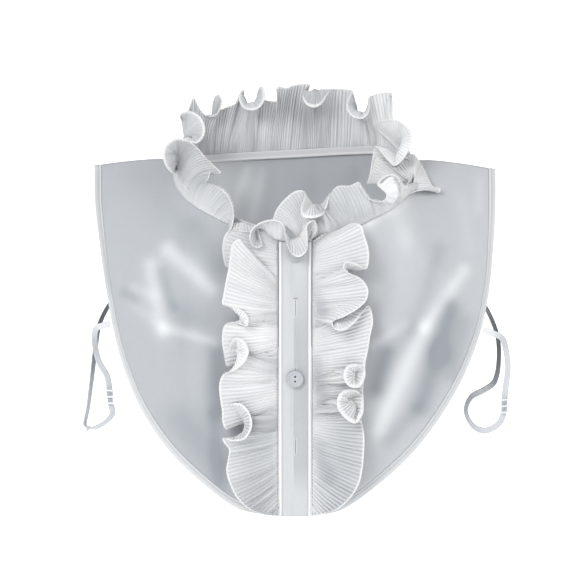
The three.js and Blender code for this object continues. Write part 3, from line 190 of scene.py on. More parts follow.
# Soft drape folds of the front: a ridge from one place to another, as seen from the front
FRONT_FOLDS = table(
    "from_x from_z to_x to_z width height",
    (-100, -18, -140, -112, 12, 3.2),
    (-66, -40, -112, -120, 13, 3.0),
    (-82, -10, -84, -150, 9, -2.6),
    (-70, -120, -96, -190, 13, 2.4),
    (92, -20, 74, -96, 12, 3.2),
    (80, -14, 132, -70, 11, 2.8),
    (72, -70, 132, -118, 11, -2.8),
    (120, -84, 74, -130, 11, 3.0),
    (100, -110, 84, -186, 12, 2.6),
)

# Upright folds of the back, just under the neck seam
BACK_FOLDS = table(
    "from_x from_z to_x to_z width height",
    (-46, 10, -58, -110, 9, 2.6),
    (-16, 10, -20, -120, 8, 2.2),
    (18, 10, 26, -120, 9, 2.4),
    (52, 10, 66, -100, 9, 2.6),
)

# Streaks of painted light and shade on the sheer front, as seen from the front: painted lighter where a small
# fold catches the light or the back's hem shows through, darker in the hollows. Each streak also raises the
# bib a little where lighter and lowers it where darker.
FRONT_TONES = table(
    "from_x from_seen to_x to_seen width tone",
    (-100, -42, -66, -72, 7, 0.34),
    (-114, -54, -105, -106, 7, 0.28),
    (-128, -72, -112, -78, 5, 0.14),
    (-130, -84, -104, -104, 5, 0.10),
    (-104, -103, -62, -115, 4.5, 0.22),
    (-106, -60, -97, -86, 5, -0.16),
    (-134, -76, -128, -80, 5, -0.16),
    (-92, -90, -70, -98, 9, -0.12),
    (-78, -24, -62, -54, 10, -0.12),
    (-62, -122, -61, -168, 8, -0.22),
    (-90, -176, -60, -214, 13, -0.16),
    (-64, -172, -60, -236, 6, -0.18),
    (-120, 18, -90, -20, 16, -0.06),
    (80, -12, 88, -34, 9, 0.14),
    (84, -36, 98, -88, 16, 0.04),
    (62, -30, 66, -96, 8, 0.06),
    (134, -58, 102, -104, 5.5, 0.34),
    (102, -104, 66, -184, 7, 0.34),
    (68, -160, 62, -192, 9, 0.12),
    (114, -42, 94, -104, 7, -0.16),
    (94, -104, 84, -116, 9, -0.14),
    (122, -88, 114, -124, 9, -0.42),
    (113, -124, 100, -164, 9, -0.36),
    (134, -100, 124, -140, 8, -0.20),
    (72, -124, 64, -152, 8, -0.42),
    (94, -170, 74, -192, 7, -0.20),
    (62, -116, 88, -100, 4, 0.14),
    (132, 0, 138, -40, 6, 0.06),
    (148, 14, 146, -10, 4, 0.10),
    # Painted light along the neck seam on both sides, where the collar's edge would shade the bib
    (-66, -8, -46, -20, 5, 0.30),
    (-46, -20, -26, -28, 5, 0.30),
    (30, -28, 58, -19, 5, 0.30),
    (58, -19, 86, -4, 5, 0.34),
)

# The same painted shade for the front hem: darker down its left side
HEM_TONES = table(
    "from_x from_seen to_x to_seen width tone",
    (-160, 16, -152, -66, 14, -0.16),
)

# The same painted light and shade for the inside of the back
BACK_TONES = table(
    "from_x from_seen to_x to_seen width tone",
    (-84, 12, -40, 10, 14, 0.26),
    (-58, 24, -66, -16, 6, 0.12),
    (-38, 24, -52, -10, 4, 0.16),
    (-26, 22, -34, -14, 4, 0.14),
    (-64, 20, -58, -10, 30, 0.08),
    (0, 10, 60, 10, 14, -0.03),
)

# The same painted light and shade for the pleated cloth of the stand ruffle and of the frills
COLLAR_TONES = table(
    "from_x from_seen to_x to_seen width tone",
    (-58, 58, -44, 50, 12, 0.06),
    (-4, 72, 10, 66, 12, -0.36),
    (-34, 60, -16, 52, 9, 0.10),
    (60, 58, 66, 30, 14, 0.16),
    (84, 58, 92, 40, 12, 0.20),
    (66, 56, 70, 46, 8, 0.20),
    (74, 10, 100, 20, 20, 0.34),
    (-94, 24, -86, 10, 12, -0.05),
    (-74, 10, -56, -2, 12, -0.18),
    (30, -10, 60, -14, 10, -0.16),
    (-14, -24, 14, -26, 12, 0.20),
    (34, 0, 56, 6, 12, -0.08),
    (70, 78, 78, 60, 8, 0.25),
)
FRILL_TONES = table(
    "from_x from_seen to_x to_seen width tone",
    (-44, -44, -26, -84, 18, 0.10),
    (-46, -98, -30, -110, 12, 0.28),
    (-46, -130, -26, -160, 12, 0.10),
    (50, -40, 52, -76, 12, -0.04),
    (15, -76, 22, -92, 6, -0.30),
    (15, -130, 22, -160, 7, -0.36),
    (16, -196, 26, -222, 7, -0.26),
    (-30, -190, -30, -240, 20, -0.30),
    (40, -190, 36, -240, 20, -0.34),
)

RUFFLE_TONES = {"collar": COLLAR_TONES, "frill": FRILL_TONES}

# Where a ruffle's free edge goes: a row at each turn of each fold. at is the place along the seam that the
# turn is gathered to, x and y are its place, seen its height as it shows from the camera's tilt, bulge how
# far the cloth swells on its way there, and lip, where the cloth rolls over past its edge, how far it rolls,
# to the left of the way along the edge. The stand ruffle's seam is measured from the centre back.
COLLAR_EDGE = table(
    "at x y seen bulge lip",
    (-266, 12.8, -63, -33.6, 6),
    (-263, 17.2, -66, -26, 8),
    (-260, 14.4, -68, -19.2, 9),
    (-258, 9.4, -69, -23, 10),
    (-256, 9.6, -71, -33, 11),
    (-254, 8.8, -72, -43, 12),
    (-251, 2.8, -73, -47.8, 12, -1),
    (-248, -3, -72, -44.6, 12),
    (-245, -7.2, -70, -34, 12),
    (-242, -9.4, -66, -22.8, 10),
    (-238, -16, -65, -19, 8),
    (-232, -26, -66, -20.6, 8),
    (-228, -34, -69, -26.4, 8),
    (-225, -35.4, -70, -34, 8),
    (-223, -31.2, -69, -40.3, 6),
    (-221, -26, -67, -39, 6),
    (-219, -27.4, -65, -33, 5),
    (-217, -29.5, -62, -27, 8),
    (-214, -35, -62, -28.4, 11),
    (-209, -43.5, -61, -27.6, 12),
    (-205, -49.6, -61, -27, 11),
    (-201, -53, -62, -29, 8),
    (-198, -50.4, -62, -26, 8),
    (-194, -48.8, -59, -18, 8, -1),
    (-189, -49.2, -53, -10, 8, -1.5),
    (-183, -52, -47, -2.5, 8, -2),
    (-177, -57, -40, 4.2, 8, -2),
    (-170, -64.4, -34, 8.8, 8, -1),
    (-164, -72, -29, 10.6, 8),
    (-160, -72.4, -25, 10.4, 8),
    (-156, -69, -20, 14, 10),
    (-153, -66.4, -16, 20.2, 12),
    (-151, -62, -14, 18.6, 12),
    (-149, -58.6, -12, 19.2, 12),
    (-146, -64, -12, 25, 12),
    (-142, -71, -14, 31.6, 12),
    (-138, -75.5, -17, 37, 12),
    (-134, -82.5, -22, 43, 10),
    (-130, -89, -26, 45.4, 8, 2),
    (-127, -94.6, -29, 45.6, 8, 3),
    (-124, -100, -31, 42.6, 8, 4),
    (-121.5, -103.6, -33, 37, 8, 4.5),
    (-119.5, -104, -33, 31, 8, 4.5),
    (-117, -101.6, -31, 24, 8, 3.5),
    (-115, -97, -26, 19, 8, 2),
    (-113.5, -94, -14, 20, 4),
    (-112, -92, 0, 27, 4),
    (-110, -89, 8, 36, 4),
    (-108, -84.4, 5, 43.8, 8, 2),
    (-106, -78.4, 3, 42.8, 8, 4),
    (-104, -73.6, 3, 46.4, 8, 5),
    (-102, -71.4, 5, 53.6, 8, 5),
    (-99.5, -73.6, 10, 61.6, 8, 5),
    (-97, -79, 16, 67, 8, 4),
    (-94.5, -85.4, 23, 69, 8, 2),
    (-92, -91.4, 29, 67, 8, 2.6),
    (-91, -91.6, 33, 63.6, 8, 2),
    (-90, -88, 38, 65.6, 8),
    (-88, -84.4, 42, 73, 6),
    (-86, -81.2, 44, 80.4, 6),
    (-83, -77.6, 43, 74, 6),
    (-80, -73.4, 41, 67.6, 6, 1),
    (-77, -67.6, 40, 65, 8, 2),
    (-74.5, -62.8, 42, 66.8, 8, 1.5),
    (-73, -60, 45, 72, 8),
    (-71.5, -58.8, 48, 79, 6),
    (-70, -61, 50, 83.6, 6),
    (-68.5, -64, 52, 81.4, 6),
    (-67, -65.6, 55, 74, 6),
    (-65, -61, 59, 71.4, 6),
    (-61, -54.4, 59, 73.6, 6),
    (-57, -47.2, 60, 76.8, 6),
    (-55, -43.6, 64, 82, 6),
    (-53.5, -41, 65, 87.6, 8, 1.5),
    (-52, -44, 61, 85.6, 12, 3.5),
    (-50, -44.8, 52, 79, 14, 4),
    (-47, -42, 45, 72.8, 14, 4.5),
    (-43, -36.4, 41, 70.2, 14, 5.2),
    (-39, -30, 41, 71.2, 14, 5.2),
    (-36, -25.6, 46, 76, 12, 4.5),
    (-34, -24.2, 54, 83.6, 10, 3),
    (-32.5, -25.6, 61, 89.6, 8, 1.5),
    (-31, -28.4, 66, 89.6, 6),
    (-29.5, -29.6, 67, 84, 6),
    (-27.5, -26, 65, 80.4, 6),
    (-23, -18.4, 62, 78.4, 6),
    (-20.5, -12.6, 61, 79, 6),
    (-19.4, -11.2, 59, 84.6, 6, -1.2),
    (-18, -15.2, 55, 87.4, 6, -1.6),
    (-16.6, -13.6, 54, 89.8, 6, -1),
    (-13, -7, 59, 88.8, 6),
    (-8, -1.4, 64, 91, 6),
    (-1, 6, 68, 92.6, 6),
    (3, 11.6, 66, 92.2, 14),
    (6, 9.2, 58, 88.6, 34),
    (8.5, 6.4, 50, 81, 49, 1),
    (11.5, 9.4, 44, 74.6, 56, 2),
    (15.5, 15.2, 41, 72.4, 60, 2),
    (19, 21, 44, 75, 57, 2),
    (22, 25, 51, 81.4, 48, 1),
    (25, 28.6, 59, 87, 32),
    (29, 32, 65, 88.4, 12),
    (39, 40.4, 68, 88.6, 6),
    (44, 46, 64, 86.8, 8, 0.8),
    (47, 44, 57, 83.2, 10, 1.8),
    (49.5, 41.2, 48, 76, 12, 2.4),
    (52.5, 42.6, 41, 68.6, 14, 3),
    (56, 48, 37, 64, 14, 3.8),
    (60, 54, 37, 63.4, 14, 3.2),
    (63.5, 58.6, 41, 67.6, 12, 2.4),
    (66.5, 60, 47, 74.6, 10, 1.6),
    (68.5, 59.6, 53, 81.2, 8, 1),
    (71, 62, 56, 82.4, 6, 2),
    (75, 67.4, 56, 84.2, 6, 1),
    (79, 73.4, 58, 85.2, 6, 1),
    (82, 77.2, 55, 84.6, 6),
    (84, 76, 52, 80, 6, -1.5),
    (86, 72, 62, 72, 6, -1),
    (88, 68, 60, 63, 6),
    (90, 64, 42, 57.4, 6, -1),
    (92.5, 68.6, 22, 61.4, 8, -2),
    (95.5, 77, 14, 62.2, 8, -3),
    (98.5, 85.6, 9, 59, 8, -3.4),
    (101.5, 91.6, 4, 52.6, 8, -4),
    (104, 93, -1, 45, 8, -4.4),
    (106.5, 89.4, -5, 35.6, 8, -4.4),
    (109, 84, -7, 28, 8, -4),
    (111.5, 78.8, -7, 24.8, 8, -3),
    (114, 73, -3, 30, 8, -1.6),
    (116, 66, 5, 38.6, 8),
    (117.5, 63.6, 8, 40.6, 8),
    (119, 61.4, 5, 31, 8),
    (121, 59.4, -3, 19, 0),
    (123, 57, -8, 10.4, -4),
    (125, 60.5, -2, 21, -7),
    (127, 66, 3, 32, -9),
    (129, 72.5, 2, 28.4, -9),
    (130.8, 79.5, 1, 23.8, -6),
    (132.4, 87, 7, 30.6, 0),
    (134, 94.6, 19, 34.6, 7),
    (136, 99.6, 20, 28.4, 7),
    (138.5, 103.4, 14, 21.6, 7),
    (141, 107.2, 3, 12.4, 7),
    (143.5, 110.6, -1.5, 7, 6),
    (145.5, 113.6, -2, 4.2, 5),
    (147, 115.6, -1, 5, 5),
    (148.3, 115.4, 1, 7, 5),
    (149.4, 112.6, 2, 8, 4),
    (150.8, 107, 0, 9, 3),
    (152.5, 98, -7, 12, 3),
    (155, 90, -19, 9.4, 6),
    (157.5, 85.6, -27, 10, 8, 2),
    (160, 80.4, -30, 16.8, 8, 4),
    (162, 73.4, -31, 17.6, 8, 6),
    (164, 66.6, -32, 13.4, 8, 8),
    (165.5, 64.8, -34, 9.6, 8, 8),
    (167, 68, -36, 6, 8, 7),
    (168.5, 71.6, -38, 2.4, 8, 5),
    (171, 70.6, -42, -2.4, 8, 2),
    (175, 64.6, -44, -4.2, 6),
    (180, 57, -44, -1.4, 6),
    (186, 52, -42, 5.6, 6),
    (189, 50.4, -38, 11.4, 6),
    (195, 43, -37, 8.6, 6),
    (206, 33.6, -39, 8, 6),
    (211, 28, -43, 2, 8, -2),
    (215, 25, -52, -8, 10, -4),
    (218, 21, -62, -15, 12, -6),
    (223, 13.5, -67, -17.4, 12, -7),
    (228, 6, -66, -16, 12, -6),
    (232, 4.4, -59, -9, 12, -4),
    (236, 7.4, -48, 0, 8, -1),
    (239, 6.6, -42, 4.4, 6),
    (242, 0, -42, 4, 6),
    (246, -9, -45, -3, 6),
    (249, -15, -50, -11, 6),
    (251.5, -18, -56, -19, 6),
)

# A frill's seam is measured down the placket's edge from the neck.
LEFT_FRILL_EDGE = table(
    "at x y seen bulge lip",
    (0.5, -20, -59, -29, 2),
    (2.5, -34, -59, -25, 3),
    (5, -47, -59.4, -24.6, 3),
    (8, -54.4, -62, -29, 3),
    (13, -57, -65, -37.6, 3),
    (19, -56.8, -68, -46, 3),
    (25, -53.6, -69, -56, 2),
    (29, -46.4, -70, -50, 1),
    (31.5, -42.6, -72, -38, 2),
    (33, -43.6, -75, -33.4, 5),
    (35, -48.8, -78, -36.8, 8),
    (37.5, -50.8, -81, -45, 9),
    (41, -51.8, -83, -54, 9),
    (46, -54.4, -85, -67, 9),
    (51, -56.4, -86, -78, 9),
    (55, -57.2, -86, -84.4, 9),
    (57, -50, -86, -86.4, 8, -2),
    (59, -42, -86, -89, 8, -5),
    (61, -36.6, -84, -95, 8, -6),
    (63, -38, -81, -102, 6, -5),
    (65, -45, -77, -100, 3, -2),
    (67, -52, -75, -99, 2),
    (69, -56, -76, -102, 3),
    (74, -57.6, -78, -111, 4),
    (80, -56.4, -80, -122, 4),
    (86, -53.6, -81, -134, 3, -1),
    (89, -51.6, -80, -127, 2, -3),
    (91, -51.6, -81, -117, 3, -5),
    (93.5, -46.6, -84, -111, 5, -7),
    (95.5, -40, -88, -113.4, 7, -8),
    (97.5, -36.4, -91, -121, 8, -8),
    (100, -39.4, -92, -130, 9, -7),
    (102.5, -49, -90, -137.4, 9, -3),
    (105, -56.6, -87, -140, 8),
    (109, -59.6, -85, -147.2, 8),
    (117, -59.2, -84, -158, 7),
    (125, -57.6, -83, -169.5, 6),
    (128, -57.4, -83, -177, 6),
    (130, -54.6, -82, -183.4, 5),
    (132, -50.8, -80, -180, 4, -1),
    (134, -53.4, -81, -170, 4, -4),
    (136.5, -49.6, -85, -163, 6, -5),
    (139, -41.6, -89, -163.6, 8, -5.5),
    (141.5, -35.4, -92, -171, 9, -5.5),
    (144, -34, -93, -181.6, 10, -5),
    (146.5, -40, -92, -191.2, 9, -4),
    (149, -49.6, -90, -192.8, 8, -2),
    (151, -57.2, -89, -190.4, 8),
    (153, -56, -87, -194, 7),
    (157, -52.4, -86, -199, 6),
    (163, -53, -85, -207, 6),
    (170, -54.4, -85, -216, 6),
    (178, -51.6, -85, -227, 6),
    (187, -45.5, -85, -238.6, 6),
    (198, -35.5, -84, -247.4, 5),
    (209, -25, -82, -251.2, 4),
    (219, -14.4, -80, -252.6, 1),
)
RIGHT_FRILL_EDGE = table(
    "at x y seen bulge lip",
    (0.5, 20, -58.6, -30.2, 1),
    (2.5, 34, -57, -26.6, 1),
    (5, 46, -63, -21.4, 3),
    (8, 51.6, -64, -22.6, 3),
    (12, 54.6, -67, -31, 4),
    (17, 57.4, -70, -40, 5),
    (22, 58, -74, -49, 6),
    (25, 56, -77, -56.6, 7),
    (27.5, 48.5, -81, -53, 7, 2),
    (30, 39.8, -85, -51.4, 8, 3),
    (32, 37.4, -87, -56, 8, 3),
    (34, 41.6, -86, -60.6, 7, 2),
    (37, 49.4, -83, -63.4, 6),
    (40, 54.6, -81, -67.6, 5),
    (44, 57.4, -81, -74, 5),
    (49, 55.6, -84, -82, 6, -1),
    (53, 48.6, -88, -88.6, 7, -1.5),
    (56.5, 38.6, -91, -94.4, 7, -1.5),
    (60, 29.4, -92, -98.6, 8),
    (62, 30.6, -92, -104, 8, 2),
    (64.5, 37.6, -91, -105.4, 6, 4),
    (67, 46, -87, -100, 4, 4),
    (69.5, 53.5, -82, -90.5, 2, 3),
    (72, 58, -78, -86, 2),
    (77, 61.2, -80, -97.6, 3),
    (84, 59, -82, -110, 4),
    (92, 57.4, -83, -120.5, 4),
    (99, 55.2, -85, -132.5, 4, -2),
    (102, 55, -89, -142, 5, -6),
    (104.5, 50.4, -93, -150, 6, -8),
    (107, 42.6, -95, -149.4, 7, -8),
    (109.5, 37.8, -96, -141.6, 8, -8),
    (112, 40.6, -95, -133.4, 7, -8),
    (114.5, 48.6, -91, -131.6, 5, -7),
    (117, 54.4, -85, -137.6, 3, -3),
    (119, 53.6, -84, -152, 3, -2),
    (122, 54, -88, -163, 5, -6),
    (124.5, 53, -92, -172, 6, -9),
    (127, 47.6, -95, -178.6, 7, -10),
    (130, 38.4, -97, -173.6, 8, -10),
    (132.5, 32.6, -97, -163.4, 8, -10),
    (135, 35.4, -95, -154.6, 7, -9),
    (137.5, 44.6, -90, -151.4, 5, -7),
    (139.5, 51.6, -85, -155.4, 3, -3),
    (141, 50.6, -83, -168, 2),
    (144, 53, -85, -179, 4),
    (149, 54.6, -87, -189, 6),
    (157, 54.4, -88, -201, 6),
    (166, 53.4, -88, -213.8, 6),
    (175, 50.8, -88, -226, 6),
    (184, 45, -87, -236.4, 6),
    (194, 37, -86, -244.6, 5),
    (204, 27.4, -84, -250, 4),
    (212, 19.5, -83, -251.4, 3),
    (219, 13.8, -81, -251.4, 1),
)

# The straps' routes from the front hem, through the slider and round the slack loop to the back hem. turn is
# how far the strap's face is turned from facing the front, in degrees, and tone how light it is painted: low
# as painted shade where the elastic's shaded side shows.
LEFT_STRAP = table(
    "x y z turn tone",
    (-147, -35, -94.5, -20, 0.9),
    (-153, -37, -95.5, -10, 0.9),
    (-158.5, -37, -99, -20, 0.75),
    (-159, -36, -112, -30, 0.55),
    (-156, -35, -126, -35, 0.7),
    (-150, -35, -137, -30, 0.7),
    (-148, -35, -148, -20, 0.7),
    (-147, -35, -160, -15, 0.7),
    (-146, -33, -170, -25, 0.7),
    (-153, -28, -179, -40, 0.7),
    (-163, -23, -185, -50, 0.7),
    (-168.5, -17, -184, -60, 0.7),
    (-166, -13, -170, -60, 0.7),
    (-163, -12, -148, -55, 0.5),
    (-160, -14, -124, -50, 0.12),
    (-157, -12, -104, -50, 0.1),
    (-151, 4, -93, -60, 0.12),
    (-144, 32, -90, -70, 0.7),
    (-136, 58, -89, -60, 0.7),
    (-126.5, 69.2, -91.5, -25, 0.7),
)
RIGHT_STRAP = table(
    "x y z turn tone",
    (149.5, -34, -100, 20, 0.9),
    (157, -36, -102, 10, 0.85),
    (165, -36, -107, 20, 0.6),
    (168.5, -35, -120, 30, 0.7),
    (169.5, -34, -133, 35, 0.7),
    (168, -34, -147, 30, 0.7),
    (167, -34, -158, 15, 0.7),
    (166.5, -34, -168, 15, 0.7),
    (163, -32, -178, 25, 0.7),
    (153, -28, -185, 40, 0.7),
    (143, -23, -183, 50, 0.7),
    (137, -19, -172, 55, 0.7),
    (141, -16, -161, 50, 0.7),
    (152, -14, -155, 45, 0.7),
    (160, -14, -148, 50, 0.3),
    (163, -14, -132, 55, 0.08),
    (162, -10, -112, 55, 0.08),
    (155, 6, -96, 60, 0.3),
    (147, 32, -91, 70, 0.7),
    (136, 58, -89, 60, 0.7),
    (126.5, 69.2, -91.5, 25, 0.7),
)


def through(rows, column, t):
    """A smooth value at t, from 0 to 1, through one column of a table."""
    values = rows[column]
    last = len(values) - 1
    place = np.clip(np.asarray(t, float), 0, 1) * last
    i = np.minimum(place.astype(int), last - 1)
    f = place - i
    a, b, c, d = (values[np.clip(i + k, 0, last)] for k in (-1, 0, 1, 2))
    return b + 0.5 * f * (c - a + f * (2 * a - 5 * b + 4 * c - d + f * (3 * (b - c) + d - a)))


def point_through(rows, t):
    return np.stack([through(rows, name, t) for name in "xyz"], axis=-1)


def unit(vectors):
    return vectors / np.maximum(np.linalg.norm(vectors, axis=-1, keepdims=True), 1e-9)


class Line:
    """A line of points that can be read by distance along it."""

    def __init__(self, points):
        self.points = points
        steps = np.linalg.norm(np.diff(points, axis=0), axis=1)
        self.lengths = np.concatenate([[0], np.cumsum(steps)])
        self.total = self.lengths[-1]

    def at(self, distance):
        return np.stack([np.interp(distance, self.lengths, self.points[:, k]) for k in range(3)], axis=-1)


HALF_NECK = Line(point_through(NECK_SEAM, np.linspace(0, 1, FINE.neck)))
FRONT_DROP = NECK_SEAM["z"][0] - FRONT_OUTLINE["z"][0]


def neck_at(distance):
    """The neck seam by distance from the centre back, to the right."""
    distance = np.asarray(distance, float)
    whole = 2 * HALF_NECK.total
    turned = distance - whole * np.round(distance / whole)
    points = HALF_NECK.at(HALF_NECK.total - np.abs(turned))
    points[..., 0] *= np.where(turned < 0, -1, 1)
    behind = np.clip((points[..., 1] - BACK_LEAN.from_y) / BACK_LEAN.over, 0, 1)
    points[..., 2] += behind * (BACK_LEAN.lift + BACK_LEAN.slope * points[..., 0])
    return points


def outward_at(distance):
    """Level direction away from the neck, across the seam."""
    along = neck_at(np.asarray(distance) + 1) - neck_at(np.asarray(distance) - 1)
    return -unit(np.stack([along[..., 1], -along[..., 0], 0 * along[..., 0]], axis=-1))


def chest_line(x, drop):
    """The centre front at a drop below the neck, swelling forward over the chest."""
    x, drop = np.broadcast_arrays(np.asarray(x, float), np.asarray(drop, float))
    swell = CHEST.swell * np.sin(np.pi / 2 * drop / CHEST.drop)
    return np.stack([x, NECK_SEAM["y"][0] - swell, NECK_SEAM["z"][0] - drop], axis=-1)


def fold_height(folds, points):
    """How high a table's rounded banks, each along its own line as seen from the front, rise at points."""
    height = 0
    for k in range(len(folds["width"])):
        from_x, from_z, to_x, to_z, width, rise = (folds[name][k] for name in folds)
        span_x, span_z = to_x - from_x, to_z - from_z
        along = (points[..., 0] - from_x) * span_x + (points[..., 2] - from_z) * span_z
        held = np.clip(along / (span_x**2 + span_z**2), 0, 1)
        off_x = points[..., 0] - from_x - held * span_x
        off_z = points[..., 2] - from_z - held * span_z
        height = height + rise * np.exp(-(off_x**2 + off_z**2) / width**2)
    return height


def tone_at(tones, points, plain):
    """How light the cloth is painted at its points, from 0 to 1, by its plain tone and its streaks of painted
    light and shade.
    """
    seen = points[..., 2] * math.cos(TILT) + points[..., 1] * math.sin(TILT)
    flat = np.stack([points[..., 0], seen, seen], axis=-1)
    return plain + fold_height(tones, flat)


def patch(top, bottom, start, end):
    """A four-sided patch between its four edge curves."""

    def surface(u, v):
        u, v = np.broadcast_arrays(u, v)
        a, b = u[..., None], v[..., None]
        point = (1 - b) * top(u) + b * bottom(u) + (1 - a) * start(v) + a * end(v)
        point = point - (1 - a) * (1 - b) * top(0) - a * (1 - b) * top(1)
        return point - (1 - a) * b * bottom(0) - a * b * bottom(1)

    return surface


def lowered(points, drop):
    return points - np.stack([0 * drop, 0 * drop, drop], axis=-1)


def neck_to_shoulder():
    """How far the neck seam runs from the centre back to a shoulder seam."""
    back_part = {key: values[NECK_SHOULDER_ROW:] for key, values in NECK_SEAM.items()}
    return Line(point_through(back_part, np.linspace(0, 1, FINE.shoulder))).total


def shoulder_line(side, v, behind=0):
    """A shoulder seam, on which the bib hangs a little: v runs from the neck to the tip."""
    drop = (1 - v) * BIB_SEAM.drop + side * SHOULDER_DROP * v
    return lowered(point_through(SHOULDER, v) * (side, 1, 1) + (0, behind, 0), drop)


def front_bib(side):
    """One half of the front bib. u runs from the placket to the shoulder seam, v from the neck to the hem."""
    name = "left" if side < 0 else "right"
    neck_start = HALF_NECK.total - FRONT_EDGE
    neck_end = neck_to_shoulder()

    def top(u):
        points = neck_at(side * (neck_start + (neck_end - neck_start) * u))
        return lowered(points, np.full(np.shape(u), float(BIB_SEAM.drop)))

    def bottom(u):
        x = side * through(FRONT_OUTLINE, name, u)
        z = through(FRONT_OUTLINE, "z", u) - side * SHOULDER_DROP * u
        return np.stack([x, through(FRONT_OUTLINE, "y", u), z], axis=-1)

    def start(v):
        shift = top(0) - chest_line(side * FRONT_EDGE, 0)
        return chest_line(side * FRONT_EDGE, v * FRONT_DROP) + shift * (1 - v)[..., None]

    smooth = patch(top, bottom, start, lambda v: shoulder_line(side, v))

    def surface(u, v):
        u, v = np.broadcast_arrays(u, v)
        point = smooth(u, v)
        held = np.minimum(1, FRONT_HELD.placket * u) * np.minimum(1, FRONT_HELD.neck * v)
        held = held * np.minimum(1, FRONT_HELD.shoulder * (1 - u)) * (1 - FRONT_HELD.hem * v**2)
        across = np.sin(np.pi * np.minimum(1, SWELL.front_reach * u)) ** 2
        swell = SWELL.front * np.sin(np.pi * v) * across
        small = STREAK_HEIGHT * tone_at(FRONT_TONES, point, 0)
        point[..., 1] -= held * (fold_height(FRONT_FOLDS, point) + small) + SWELL.share * swell
        point[..., 2] += SWELL.share * swell
        return point

    return surface


def back_bib():
    """The back bib. u runs from the left shoulder seam to the right one, v from the neck to the hem."""
    neck_end = neck_to_shoulder() - BIB_SEAM.short

    def top(u):
        points = neck_at(neck_end * (2 * u - 1))
        return points + (0, BIB_SEAM.behind_neck, -BIB_SEAM.drop)

    def bottom(u):
        t = np.abs(2 * u - 1)
        side = np.where(u < 0.5, -1, 1)
        point = point_through(BACK_OUTLINE, t)
        point[..., 0] *= side
        return lowered(point, side * SHOULDER_DROP * t)

    def seam(side):
        return lambda v: shoulder_line(side, v, BIB_SEAM.behind_shoulder)

    smooth = patch(top, bottom, seam(-1), seam(1))

    def surface(u, v):
        u, v = np.broadcast_arrays(u, v)
        point = smooth(u, v)
        held = np.minimum(1, BACK_HELD.neck * v) * np.minimum(1, BACK_HELD.shoulder * u)
        held = held * np.minimum(1, BACK_HELD.shoulder * (1 - u))
        swell = SWELL.back * np.sin(np.pi * v) * np.sin(np.pi * u)
        point[..., 1] += swell + held * fold_height(BACK_FOLDS, point)
        return point

    return surface


def grid(surface, across, down):
    return surface(np.linspace(0, 1, across + 1)[None, :], np.linspace(0, 1, down + 1)[:, None])


def share_left(surface, u, distance):
    """How far down a surface, as a share, lies a distance from its outer edge."""
    places = surface(u[..., None], np.linspace(0, 1, FINE.down_bib))
    length = np.linalg.norm(np.diff(places, axis=-2), axis=-1).sum(-1)
    return 1 - distance / length


def inside(surface, distance):
    return lambda u, v: surface(u, v * share_left(surface, u, distance))


def edge_band(surface, distance):
    def band(u, v):
        share = share_left(surface, u, distance)
        return surface(u, share + (1 - share) * v)

    return band


def seen_height(seen, y):
    """The height of a point that shows at a height from the camera's tilt."""
    return (seen - y * math.sin(TILT)) / math.cos(TILT)


def edge_through(rows, places):
    """The edge's columns at places counted in rows, smooth through rows that lie unevenly."""
    columns = np.stack([rows[name] for name in ("at", "x", "y", "seen", "bulge", "lip")], axis=-1)
    columns = np.column_stack([columns, seen_height(columns[:, 3], columns[:, 2])])
    gaps = np.sqrt(np.linalg.norm(np.diff(columns[:, [1, 2, 6]], axis=0), axis=1))[:, None]
    slopes = np.diff(columns, axis=0) / gaps
    inner = (slopes[:-1] * gaps[1:] + slopes[1:] * gaps[:-1]) / (gaps[:-1] + gaps[1:])
    tangents = np.concatenate([slopes[:1], inner, slopes[-1:]])
    i = np.minimum(places.astype(int), len(gaps) - 1)
    f = (places - i)[:, None]
    a, b, gap = columns[i], columns[i + 1], gaps[i]
    rise = (2 * f**3 - 3 * f**2 + 1) * a + (3 * f**2 - 2 * f**3) * b
    return rise + gap * ((f**3 - 2 * f**2 + f) * tangents[i] + (f**3 - f**2) * tangents[i + 1])


def pleat_columns(rows, pitch, steps):
    """Evenly spaced places along a free edge, some for each pleat, and the number of pleats."""
    turns = len(rows["at"])
    dense = np.linspace(0, turns - 1, FINE.each_turn * turns)
    line = Line(edge_through(rows, dense)[:, [1, 2, 6]])
    pleats = int(line.total / pitch)
    even = np.linspace(0, line.total, pleats * steps + 1)
    return edge_through(rows, np.interp(even, line.lengths, dense)), pleats


def strip(foot, knee, columns, shares):
    """A strip of cloth from its seam over a knee and a rolled lip to its free edge, at shares of the way."""
    _, x, y, seen, _, lip, z = columns.T
    tip = np.stack([x, y, z], axis=-1)
    ahead = unit(np.stack([np.gradient(x), 0 * x, np.gradient(seen)], axis=-1))
    aside = np.stack([-ahead[:, 2], 0 * lip, ahead[:, 0]], axis=-1)
    roll = LIP.reach * lip + LIP.jump * np.clip(lip / LIP.jump_by, -1, 1)
    turned = np.clip(np.abs(lip) / LIP.turned_by, 0, 1)[:, None]
    over = (tip + 2 * knee) / 3 * (1 - turned) + tip * turned + roll[:, None] * aside
    over[:, 1] += LIP.back * np.abs(roll)
    h = shares[:, None, None]
    rise = (foot + 2 * knee) / 3
    return (1 - h) ** 3 * foot + 3 * h * (1 - h) ** 2 * rise + 3 * h**2 * (1 - h) * over + h**3 * tip


def gathers(columns, shares, pitch, height):
    """How far the soft tubes that a gathered seam throws up stand out, strongest above the seam."""
    turn = 2 * np.pi * columns[:, 0] / pitch
    rows = zip(*(GATHER_WANDER[name] for name in ("rate", "size", "phase")))
    wave = np.sin(turn + sum(size * np.sin(rate * turn + phase) for rate, size, phase in rows))
    shape = GATHER_SHAPE
    strength = shape.mean + shape.swing * np.sin(shape.rate * turn + shape.phase)
    rise = np.clip(shares / shape.full_at, 0, 1) * (1 - shares) ** shape.fade * shape.gain
    return height * (wave * strength)[None, :] * rise[:, None]


